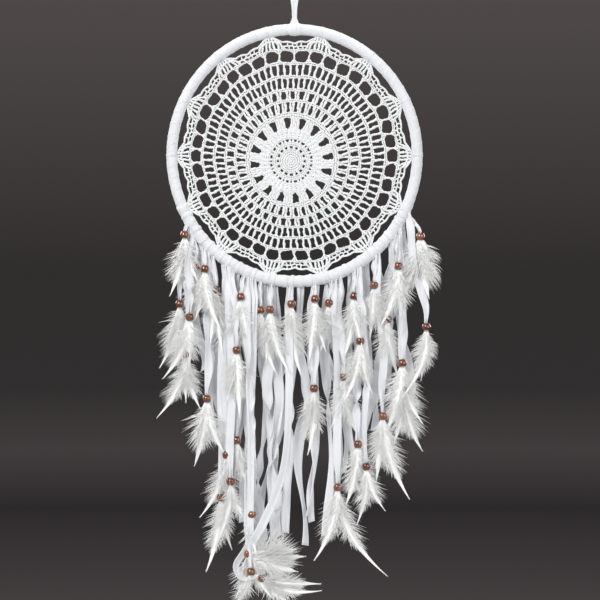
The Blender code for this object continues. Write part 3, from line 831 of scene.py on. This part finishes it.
def make_wrap_tree():
    """A cloth strip wound round a ring: each lap rises to an edge that lies on the next one."""
    tree, given = new_tree("wound_wrap", Ring="Float", Tube="Float", Laps="Float", Lap_Step="Float",
                           Along="Int", Around="Int", Seed="Float", Finish="Material")
    ring = add_node(tree, "GeometryNodeCurvePrimitiveCircle",
                    {"Resolution": given["Along"], "Radius": given["Ring"]}).outputs[0]
    section = add_node(tree, "GeometryNodeCurvePrimitiveCircle",
                       {"Resolution": given["Around"], "Radius": given["Tube"]}).outputs[0]
    tube = add_node(tree, "GeometryNodeCurveToMesh", {"Curve": ring, "Profile Curve": section}).outputs[0]
    tube = add_node(tree, "GeometryNodeSetShadeSmooth", {"Geometry": tube}).outputs[0]
    place = add_node(tree, "GeometryNodeInputPosition").outputs[0]
    x, y, z = add_node(tree, "ShaderNodeSeparateXYZ", {0: place}).outputs
    along = calc(tree, "ARCTAN2", y, x)
    reach = calc(tree, "SQRT", calc(tree, "ADD", calc(tree, "MULTIPLY", x, x), calc(tree, "MULTIPLY", y, y)))
    round_tube = calc(tree, "ARCTAN2", z, calc(tree, "SUBTRACT", reach, given["Ring"]))

    def noise(scale, detail=2.0):
        """A value that drifts at random along the tube."""
        return add_node(tree, "ShaderNodeTexNoise", {"Vector": place, "W": given["Seed"], "Scale": scale,
                                                     "Detail": detail}, noise_dimensions="4D").outputs[0]

    along = calc(tree, "DIVIDE", along, 2 * math.pi)
    round_tube = calc(tree, "DIVIDE", round_tube, 2 * math.pi)
    laps = calc(tree, "MULTIPLY_ADD", along, given["Laps"], round_tube)
    laps = calc(tree, "MULTIPLY_ADD", noise(45.0, 1.0), 1.3, laps)
    ramp = calc(tree, "POWER", calc(tree, "FRACT", laps), 0.8)
    rise = calc(tree, "MULTIPLY", calc(tree, "SUBTRACT", ramp, 0.3), given["Lap Step"])
    rise = calc(tree, "MULTIPLY_ADD", calc(tree, "SUBTRACT", noise(130.0), 0.5), 0.45 * MM, rise)
    rise = calc(tree, "MULTIPLY_ADD", calc(tree, "SUBTRACT", noise(420.0), 0.5), 0.3 * MM, rise)
    normal = add_node(tree, "GeometryNodeInputNormal").outputs[0]
    offset = add_node(tree, "ShaderNodeVectorMath", {0: normal, "Scale": rise}, operation="SCALE").outputs[0]
    tube = add_node(tree, "GeometryNodeSetPosition", {"Geometry": tube, "Offset": offset}).outputs[0]
    end_tree(tree, tube, given["Finish"])
    return tree


def make_wrap():
    """The cloth strip wound round the hoop."""
    mesh = grow("hoop_wrap_cloth", make_wrap_tree(), {
        "Ring": RING_RADIUS, "Tube": TUBE_RADIUS, "Laps": float(WRAP_LAPS), "Lap Step": LAP_STEP,
        "Along": 1500, "Around": 36, "Seed": 3.0, "Finish": WOUND_CLOTH})
    mesh.transform(Matrix.Rotation(math.radians(90), 4, "X"))
    mesh = join_meshes("hoop_wrap_cloth", [mesh], WOUND_CLOTH)
    add_piece("hoop_wrap_cloth", to_hoop(mesh), "hoop", ["hoop_wrap"])


def cloth_band(width, bulge, skew):
    """A closed band of cloth round the tube at the hoop's lowest point, its edges sunk into the wrap."""
    shape = Shape()
    turn = np.linspace(0, 2 * np.pi, 29)[:-1]
    across = np.array([-1.0, -0.86, -0.45, 0.0, 0.45, 0.86, 1.0, 0.6, -0.6])
    height = np.array([-0.3, 0.55, 0.92, 1.0, 0.9, 0.6, -0.3, -0.8, -0.8])
    rows = []
    for angle in turn:
        pleat = 0.10 * np.sin(9 * across + 2 * angle) * (height > 0)
        radius = TUBE_RADIUS + bulge * (height + pleat) + 0.12 * MM * math.sin(3 * angle + width * 4000)
        side = across * width / 2 * (1 + 0.12 * math.sin(2 * angle)) + skew * math.sin(angle)
        rows.append(np.stack([side, radius * math.sin(angle), -RING_RADIUS - radius * math.cos(angle)], -1))
    rows = np.array(rows)
    uv = [[(j * width / 9, i * 1.5 * MM) for j in range(10)] for i in range(29)]
    rows = np.concatenate([rows, rows[:1]])
    shape.grid(rows, uv, around=True)
    return shape


def welded(mesh):
    """Closes the seam of a band and turns its faces outwards."""
    work = bmesh.new()
    work.from_mesh(mesh)
    bmesh.ops.remove_doubles(work, verts=work.verts, dist=1e-6)
    bmesh.ops.recalc_face_normals(work, faces=work.faces)
    work.to_mesh(mesh)
    work.free()
    return mesh


def make_knots():
    """Bands where the strips go round the lower hoop."""
    bands = []
    kinds = ((1.0, 0.55, 1.6), (0.8, 0.8, -1.4), (1.25, 0.45, -0.6), (0.65, 0.95, 0.8))
    for k, (width, bulge, skew) in enumerate(kinds):
        count = KNOTS // len(kinds) + (1 if k < KNOTS % len(kinds) else 0)
        first = -KNOT_SPAN / 2 + (k + 0.5) * KNOT_SPAN / KNOTS
        step = KNOT_SPAN / KNOTS * len(kinds)
        band = cloth_band(width * KNOT_WIDTH, bulge * MM, skew * MM)
        bands.append(turn_copies(f"knot_{k}", band, WOUND_CLOTH, count, first, step, 1.3, SEED + k))
    mesh = welded(join_meshes("strip_knots", bands, WOUND_CLOTH))
    add_piece("strip_knots", to_hoop(mesh), "hoop")


# Strips


def ribbon(name, path, width, twist, pleat, cup=0.0, slant=0.0, columns=9, across=(1, 0, 0)):
    """A strip of cloth along a path: its seen width, twist, depth of its pleats and cupping at each point."""
    path = np.asarray(path, float)
    tangent, side, normal = frames_along(path, across)
    turn = np.broadcast_to(twist, len(path))[:, None]
    side, normal = np.cos(turn) * side + np.sin(turn) * normal, np.cos(turn) * normal - np.sin(turn) * side
    u = np.linspace(-1, 1, columns)
    along = arc_length(path)
    width, pleat = np.broadcast_to(width, len(path)), np.broadcast_to(pleat, len(path))
    cup = np.broadcast_to(cup, len(path))
    lift = pleat[:, None] * np.sin(3.6 * u + 14 * along[:, None]) + cup[:, None] * (u * u - 0.33)
    spread = side[:, None] * (width[:, None] / 2 * u)[..., None]
    rows = path[:, None] + spread + normal[:, None] * lift[..., None]
    cut = smooth((along / along[-1] - 0.93) / 0.07)
    rows += tangent[:, None] * (slant * cut[:, None] * u)[..., None]
    uv = [[(value * 5.5 * MM, length) for value in u] for length in along]
    shape = Shape()
    shape.grid(rows, uv)
    return shape.mesh(name, STRIP_CLOTH)


def hoop_point(angle):
    """The middle of the tube at an angle in degrees from the hoop's lowest point, + to the right."""
    turn = math.radians(angle)
    place = np.array([RING_RADIUS * math.sin(turn), 0, -RING_RADIUS * STRETCH * math.cos(turn)])
    return place + np.array(HOOP_MIDDLE)


def add_thickness(piece, thickness):
    """Gives a strip its thickness, half to each side."""
    wall = piece.modifiers.new("thickness", "SOLIDIFY")
    wall.thickness, wall.offset = thickness, 0.0


def hang_strip(name, body, mesh, nodes=()):
    piece = add_piece(name, mesh, body, nodes)
    add_thickness(piece, STRIP_THICKNESS)


def strip_twist(rng, share, least, most, chance):
    """The turn of a strip along its length: a slow sway, and by chance one half turn over."""
    turns = rng.uniform(least, most) * np.sin(2 * np.pi * (rng.uniform(0.8, 2.0) * share + rng.uniform()))
    if rng.uniform() < chance:
        turns = turns + np.pi * rng.choice((-1, 1)) * smooth((share - rng.uniform(0.2, 0.65)) / 0.2)
    return turns


def plain_strip(name, body, angle, low, side_shift, depth, seed, nodes=()):
    """A plain strip from the back of its knot down to the height low."""
    rng = np.random.default_rng(seed)
    top = hoop_point(angle) + np.array([0, KNOT_DEPTH, -KNOT_DROP])
    length = top[2] - low
    share = np.linspace(0, 1, max(24, int(length / (3.2 * MM))))
    reach = share * length
    wave = rng.uniform(2.0, 5.0) * MM * np.sin(2 * np.pi * (rng.uniform(0.7, 1.6) * share + rng.uniform()))
    wave += rng.uniform(0.5, 1.6) * MM * np.sin(2 * np.pi * (rng.uniform(2.0, 3.2) * share + rng.uniform()))
    path = np.stack([
        top[0] + side_shift * smooth(share) + wave * smooth(share * 3),
        top[1] + (depth - top[1]) * smooth(reach / (35 * MM)) + 0.8 * MM * np.sin(7 * share + seed),
        top[2] - reach], -1)
    gather = smooth(reach / (rng.uniform(20, 45) * MM))
    fullness = rng.uniform(0.30, 0.58)
    width = PLAIN_WIDTH * (0.34 + fullness * gather) * (1 + 0.12 * np.sin(rng.uniform(6, 14) * share + seed))
    turns = rng.uniform(-0.6, 0.6) + strip_twist(rng, share, 0.5, 1.2, 0.85)
    pleat = MM * (1.6 * (1 - gather) + rng.uniform(0.2, 0.9))
    mesh = ribbon(name, path, width, turns, pleat, rng.uniform(-1.2, 1.2) * MM, rng.uniform(-3, 3) * MM)
    hang_strip(name, body, mesh, nodes)


def curve_through(points, steps):
    """A smooth path through points, in that many steps from each to the next."""
    points = np.asarray(points, float)
    points = np.concatenate([2 * points[:1] - points[1:2], points, 2 * points[-1:] - points[-2:-1]])
    t = np.linspace(0, 1, steps, endpoint=False)[:, None]
    parts = []
    for a, b, c, d in zip(points, points[1:], points[2:], points[3:]):
        square = 2 * a - 5 * b + 4 * c - d
        cube = 3 * b - a - 3 * c + d
        parts.append(0.5 * (2 * b + (c - a) * t + square * t ** 2 + cube * t ** 3))
    return np.concatenate([*parts, points[-2:-1]])


def beaded_strip(name, body, angle, bead, seed, nodes=(), curl=()):
    """A strip from the front of its knot that narrows into its bead, straight down or by way of a curl."""
    rng = np.random.default_rng(seed)
    top = hoop_point(angle) + np.array([0, -KNOT_DEPTH, -KNOT_DROP])
    end = np.array(bead) + np.array([-STRIP_INTO_BEAD, 0, 0] if curl else [0, 0, STRIP_INTO_BEAD])
    if curl:
        path = curve_through([top, *((x * MM, bead[1], -drop * MM) for x, drop in curl), end], 12)
        reach = arc_length(path)
        length = float(reach[-1])
        share = reach / length
    else:
        length = top[2] - end[2]
        share = np.linspace(0, 1, max(12, int(length / (3.0 * MM))))
        reach = share * length
        wave = np.sin(2 * np.pi * (rng.uniform(0.6, 1.3) * share + rng.uniform()))
        wave = wave * min(1.0, length / (80 * MM)) * rng.uniform(0.8, 3.0) * MM
        wave = wave * smooth(share * 4) * smooth((1 - share) * 4)
        path = np.stack([
            top[0] + (end[0] - top[0]) * smooth(share) + wave,
            top[1] + (end[1] - top[1]) * smooth(reach / min(30 * MM, length)),
            top[2] - reach], -1)
    gather = smooth(reach / (22 * MM)) * smooth((length - reach) / min(30 * MM, 0.7 * length))
    width = BEADED_WIDTH * (0.32 + 0.50 * gather) * (1 + 0.08 * np.sin(8 * share + seed))
    turns = rng.uniform(-0.5, 0.5) + strip_twist(rng, share, 0.3, 0.9, 0.6 if length > 70 * MM else 0.0)
    if curl:
        turns = 1.4 - 0.9 * smooth((share - 0.7) / 0.2) + 0.3 * np.sin(9 * share)
    pleat = MM * (1.3 * (1 - gather) + rng.uniform(0.15, 0.45))
    mesh = ribbon(name, path, width, turns, pleat, rng.uniform(-0.8, 0.8) * MM * gather,
                  across=(0, 1, 0) if curl else (1, 0, 0))
    hang_strip(name, body, mesh, nodes)


# Beads


def bead_mesh(name, place, tilt):
    """A barrel bead with a bore, turned on its axis, in mm until it is placed."""
    outline = ((1.75, 3.3), (2.0, 3.65), (2.55, 3.7), (3.2, 3.3), (3.8, 2.45), (4.2, 1.25), (4.3, 0.0))
    outline = outline + tuple((radius, -height) for radius, height in outline[-2::-1])
    steps = 28
    turn = 2 * np.pi * np.arange(steps + 1) / steps
    profile = np.array(outline)
    rows = np.stack([profile[None, :, 0] * np.cos(turn)[:, None], profile[None, :, 0] * np.sin(turn)[:, None],
                     np.broadcast_to(profile[None, :, 1], (steps + 1, len(profile)))], -1) * MM
    uv = [[(i / steps, j / len(profile)) for j in range(len(profile) + 1)] for i in range(steps + 1)]
    shape = Shape()
    shape.grid(rows, uv, around=True)
    mesh = welded(shape.mesh(name, BEAD_WOOD))
    turned = Matrix.Rotation(tilt[0], 4, "X") @ Matrix.Rotation(tilt[1], 4, "Y")
    mesh.transform(Matrix.Translation(place) @ turned)
    return mesh


# Feathers


def make_barb():
    """One barb along +X that droops towards its tip, as a flattened three-sided hair."""
    shape = Shape()
    share = np.linspace(0, 1, 5)
    path = np.stack([BARB_LENGTH * share, 0 * share, -2.6 * MM * share ** 2], -1)
    sweep(shape, path, MM * np.array([0.26, 0.34, 0.28, 0.18, 0.02]), 3)
    shape.points = (np.array(shape.points) * (1, 0.4, 1)).tolist()
    return shape


def make_feather_tree():
    """Barbs on both sides of a shaft that hangs down: loose down above, sleek towards the tip."""
    tree, given = new_tree("feather", Barb="Object", Length="Float", Width="Float", Barbs="Int",
                           Curl="Float", Bow="Float", Seed="Int", Finish="Material")
    step = calc(tree, "DIVIDE", given["Length"], given["Barbs"])
    step = calc(tree, "MULTIPLY", step, -0.95)
    offset = add_node(tree, "ShaderNodeCombineXYZ", {"Z": step}).outputs[0]
    points = add_node(tree, "GeometryNodeMeshLine", {
        "Count": given["Barbs"], "Offset": offset, "Start Location": (0, 0, -3.5 * MM)}).outputs[0]
    index = add_node(tree, "GeometryNodeInputIndex").outputs[0]
    share = calc(tree, "DIVIDE", index, given["Barbs"])

    def along(*stops, value=share):
        """A value that changes along the shaft, from stops of (share, value)."""
        curve = add_node(tree, "ShaderNodeFloatCurve", {"Value": value})
        line = curve.mapping.curves[0]
        line.points[0].location, line.points[1].location = stops[0], stops[-1]
        for stop in stops[1:-1]:
            line.points.new(*stop)
        curve.mapping.update()
        return curve.outputs[0]

    def seeded(number, low, high):
        """A random value for each barb, from one of the feather's own seeds."""
        return random_between(tree, low, high, calc(tree, "ADD", given["Seed"], float(number)))

    reach = along((0, 0.40), (0.10, 0.78), (0.25, 1.0), (0.42, 0.90), (0.58, 0.55), (0.72, 0.27),
                  (0.86, 0.14), (1, 0.06))
    reach = calc(tree, "MULTIPLY", reach, calc(tree, "MULTIPLY", given["Width"], 0.60 / BARB_LENGTH))
    reach = calc(tree, "MULTIPLY", reach, seeded(1, 0.45, 1.3))
    loose = along((0, 1.0), (0.45, 0.85), (0.68, 0.25), (1, 0.06))
    sweep_angle = along((0, 0.36), (0.3, 0.45), (0.6, 0.62), (1, 0.84))
    lift = calc(tree, "MULTIPLY", loose, seeded(2, -0.5, 0.42))
    lift = calc(tree, "MULTIPLY_ADD", sweep_angle, math.pi / 2, lift)
    side = calc(tree, "MULTIPLY", calc(tree, "MODULO", index, 2.0), math.pi)
    roll = calc(tree, "ADD", side, calc(tree, "MULTIPLY", loose, seeded(3, -0.45, 0.45)))
    spin = calc(tree, "MULTIPLY", loose, seeded(4, -0.7, 0.7))
    euler = add_node(tree, "ShaderNodeCombineXYZ", {"X": spin, "Y": lift, "Z": roll}).outputs[0]
    rotation = add_node(tree, "FunctionNodeEulerToRotation", {0: euler}).outputs[0]
    thick = calc(tree, "MULTIPLY_ADD", reach, 0.25, 0.5)
    scale = add_node(tree, "ShaderNodeCombineXYZ", {"X": reach, "Y": thick, "Z": thick}).outputs[0]
    barb = add_node(tree, "GeometryNodeObjectInfo", {"Object": given["Barb"]}).outputs["Geometry"]
    barbs = add_node(tree, "GeometryNodeInstanceOnPoints", {
        "Points": points, "Instance": barb, "Rotation": rotation, "Scale": scale}).outputs[0]
    barbs = add_node(tree, "GeometryNodeRealizeInstances", {"Geometry": barbs}).outputs[0]
    lowest = calc(tree, "MULTIPLY", given["Length"], -1.0)
    tip = add_node(tree, "ShaderNodeCombineXYZ", {"Z": lowest}).outputs[0]
    line = add_node(tree, "GeometryNodeCurvePrimitiveLine", {"Start": (0, 0, 2 * MM), "End": tip}).outputs[0]
    line = add_node(tree, "GeometryNodeResampleCurve", {"Curve": line, "Count": 16}).outputs[0]
    place = add_node(tree, "GeometryNodeInputPosition").outputs[0]
    height = add_node(tree, "ShaderNodeSeparateXYZ", {0: place}).outputs["Z"]
    down = calc(tree, "DIVIDE", height, lowest)
    taper = calc(tree, "SUBTRACT", 1.1, calc(tree, "MAXIMUM", down, 0.0))
    section = add_node(tree, "GeometryNodeCurvePrimitiveCircle",
                       {"Resolution": 5, "Radius": 0.5 * MM}).outputs[0]
    shaft = add_node(tree, "GeometryNodeCurveToMesh", {
        "Curve": line, "Profile Curve": section, "Scale": taper, "Fill Caps": True}).outputs[0]
    leaf = add_node(tree, "GeometryNodeCurvePrimitiveCircle", {"Resolution": 8, "Radius": 1.0}).outputs[0]
    leaf = add_node(tree, "GeometryNodeTransform", {"Geometry": leaf, "Scale": (1.0, 0.07, 1.0)}).outputs[0]
    spread = along((0, 0.10), (0.15, 0.30), (0.4, 0.34), (0.62, 0.22), (0.82, 0.12), (1, 0.03), value=down)
    spread = calc(tree, "MULTIPLY", spread, calc(tree, "MULTIPLY", given["Width"], 0.5))
    vane = add_node(tree, "GeometryNodeCurveToMesh", {
        "Curve": line, "Profile Curve": leaf, "Scale": spread, "Fill Caps": True}).outputs[0]
    whole = add_node(tree, "GeometryNodeJoinGeometry")
    for part in (barbs, shaft, vane):
        tree.links.new(part, whole.inputs[0])
    bend = calc(tree, "POWER", calc(tree, "MAXIMUM", down, 0.0), 2.2)
    curl, bow = (calc(tree, "MULTIPLY", bend, given[name]) for name in ("Curl", "Bow"))
    shift = add_node(tree, "ShaderNodeCombineXYZ", {"X": curl, "Y": bow}).outputs[0]
    whole = whole.outputs[0]
    bent = add_node(tree, "GeometryNodeSetPosition", {"Geometry": whole, "Offset": shift}).outputs[0]
    bent = add_node(tree, "GeometryNodeSetShadeSmooth", {"Geometry": bent}).outputs[0]
    end_tree(tree, bent, given["Finish"])
    return tree


FEATHER_TREE = make_feather_tree()
barb_holder = bpy.data.objects.new("barb", make_barb().mesh("barb", FEATHER_DOWN))
bpy.context.scene.collection.objects.link(barb_holder)


def feather_mesh(name, bead, feather, seed):
    """One feather whose quill sits in the lower end of a bead, its down pressed into the feathers' room."""
    rng = np.random.default_rng(seed)
    length, width, lean, curl = feather
    curl = curl + float(rng.uniform(-7, 7))
    bow = float(rng.uniform(-3, 3))
    mesh = grow(name, FEATHER_TREE, {
        "Barb": barb_holder, "Length": length * MM, "Width": width * MM, "Barbs": int(length * BARBS_PER_MM),
        "Curl": curl * MM, "Bow": bow * MM, "Seed": seed * 10, "Finish": FEATHER_DOWN})
    spin = Matrix.Rotation(rng.uniform(-0.6, 0.6), 4, "Z")
    tip = Matrix.Rotation(math.radians(-lean), 4, "Y") @ Matrix.Rotation(rng.uniform(-0.04, 0.06), 4, "X")
    place = Matrix.Translation(Vector(bead) + Vector((0, 0, -QUILL_INTO_BEAD)))
    mesh.transform(place @ tip @ spin)
    points, *_ = arrays_of(mesh)
    for axis, (low, high) in enumerate(FEATHER_ROOM):
        over = points[:, axis] - np.clip(points[:, axis], low, high)
        points[:, axis] += 6 * MM * np.tanh(over / (10 * MM)) - over
    mesh.vertices.foreach_set("co", points.ravel())
    mesh.update()
    return mesh


# Hanging loop


def make_hanging_loop():
    """A cloth strip folded in three, up over the nail and down again, and its wraps round the hoop."""
    _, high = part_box("hanging_loop")
    half, top = high.x - 0.8 * MM, high.z - 0.6 * MM
    foot = HOOP_MIDDLE.z + STRETCH * (RING_RADIUS + TUBE_RADIUS) - 1.2 * MM
    turn = np.linspace(0, np.pi, 17)
    arc = np.stack([-half * np.cos(turn), 0 * turn, top - half + half * np.sin(turn)], -1)
    height = np.linspace(foot, top - half, 30)[:-1]
    apart = 1.1 * MM + (half - 1.1 * MM) * smooth((height - foot) / (top - half - foot)) ** 3
    left = np.stack([-apart, 0.62 * MM * np.ones(29), height], -1)
    path = np.concatenate([left, arc, left[::-1] * np.array([-1, -1, 1])])
    tangent = unit(np.gradient(path, axis=0))
    out = np.stack([-tangent[:, 2], 0 * tangent[:, 0], tangent[:, 0]], -1)
    drop = (top - path[:, 2])[:, None]
    spin = np.pi / 2 * smooth((drop - 6 * MM) / (18 * MM))
    deep = np.array([0.0, 1.0, 0.0])
    wide, thick = np.cos(spin) * deep + np.sin(spin) * out, np.cos(spin) * out - np.sin(spin) * deep
    span = 2.0 * MM - 0.75 * MM * smooth((drop - 26 * MM) / (18 * MM))
    span = span + 1.7 * MM * smooth((drop - 46.5 * MM) / (5 * MM))
    u = np.linspace(-1, 1, 19)
    rows = path[:, None] + wide[:, None] * (span * np.sin(1.5 * np.pi * u))[..., None] + (
        thick[:, None] * (0.55 * MM * u)[None, :, None])
    uv = [[(value * 6 * MM, along) for value in u] for along in arc_length(path)]
    shape = Shape()
    shape.grid(rows, uv)
    mesh = shape.mesh("hanging_strap", STRIP_CLOTH)
    strap = add_piece("hanging_strap", mesh, "hanger", ["hanging_loop"])
    add_thickness(strap, 0.3 * MM)
    kinds = ((10.0, 0.9, 1.2, 0.6), (8.0, 1.1, -1.4, -0.6), (5.0, 1.3, 0.4, 0.1))
    bands = []
    for k, (width, bulge, skew, angle) in enumerate(kinds):
        band = cloth_band(width * MM, bulge * MM, skew * MM)
        bands.append(turn_copies(f"hanging_wrap_{k}", band, WOUND_CLOTH, 1, 180 + angle, 0))
    wraps = welded(join_meshes("hanging_wraps", bands, WOUND_CLOTH))
    add_piece("hanging_wraps", to_hoop(wraps), "hoop", ["loop_tie"])


# Assembly


def make_fringe():
    """Every strip, bead and feather, on the strand that it swings with."""
    beads = {number: [] for number in range(1, 13)}
    feathers = {number: [] for number in range(1, 13)}
    for number, (angle, plumes) in enumerate(FRAME_STRANDS, 1):
        low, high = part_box(f"bead_{number:02d}")
        place = (low + high) / 2
        body = f"beaded_strand_{number:02d}"
        beaded_strip(f"beaded_strip_cloth_{number:02d}", body, angle, place, 100 + number,
                     [f"beaded_strip_{number:02d}"])
        beads[number].append(bead_mesh("bead", place, (0.0, 0.0)))
        for k, feather in enumerate(plumes):
            feathers[number].append(feather_mesh("feather", place, feather, 20 * number + k))
    for k, (number, angle, right, drop, depth, plumes) in enumerate(MORE_STRANDS):
        rng = np.random.default_rng(400 + k)
        place = Vector((right * MM, depth * MM, -drop * MM))
        body = f"beaded_strand_{number:02d}"
        curl = CURL if k == CURLED_STRIP else ()
        beaded_strip(f"further_beaded_strip_{k + 1:02d}", body, angle, place, 200 + k, curl=curl)
        beads[number].append(bead_mesh("bead", place, rng.uniform(-0.25, 0.25, 2)))
        for j, feather in enumerate(plumes):
            feathers[number].append(feather_mesh("feather", place, feather, 600 + 10 * k + j))
    for number in beads:
        body, tail = f"beaded_strand_{number:02d}", f"{number:02d}"
        wood = join_meshes(f"wood_beads_{tail}", beads[number], BEAD_WOOD)
        add_piece(f"wood_beads_{tail}", wood, body, [f"bead_{tail}"])
        down = join_meshes(f"feathers_{tail}", feathers[number], FEATHER_DOWN)
        add_piece(f"feathers_{tail}", down, body, [f"feather_{tail}"])
    for number, angle in enumerate(PLAIN_TIES, 1):
        low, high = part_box(f"plain_strip_{number:02d}")
        plain_strip(f"plain_strip_cloth_{number:02d}", f"plain_strand_{number:02d}", angle, low.z,
                    (low.x + high.x) / 2 - hoop_point(angle)[0], (6 + 2.5 * (number % 2)) * MM, 300 + number,
                    [f"plain_strip_{number:02d}"])
    for k, (number, angle, length, lean) in enumerate(MORE_PLAIN):
        plain_strip(f"further_plain_strip_{k + 1:02d}", f"plain_strand_{number:02d}", angle,
                    hoop_point(angle)[2] - length * MM, lean * MM, (4 + 3.2 * (k % 4)) * MM, 350 + k)


make_doily()
thread = stitches("sewing_thread", sewing_thread(), FANS, FAN_TURN / 2, FAN_TURN, 0.3)
add_piece("sewing_thread", to_hoop(thread), "hoop")
make_wrap()
make_knots()
make_hanging_loop()
make_fringe()
bpy.data.objects.remove(barb_holder)
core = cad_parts["hoop_core"]
core.data.materials.clear()
core.data.materials.append(make_bent_cane())

# Floor, below the longest feather
FLOOR_HEIGHT = -0.71
FLOOR_RADIUS = 0.5
floor_mesh = bpy.data.meshes.new("floor")
disc = bmesh.new()
level = Matrix.Translation((0, 0, FLOOR_HEIGHT))
bmesh.ops.create_circle(disc, cap_ends=True, segments=96, radius=FLOOR_RADIUS, matrix=level)
disc.to_mesh(floor_mesh)
disc.free()
floor_mesh.materials.append(make_floor_paint())
floor = bpy.data.objects.new("floor", floor_mesh)
bpy.context.scene.collection.objects.link(floor)
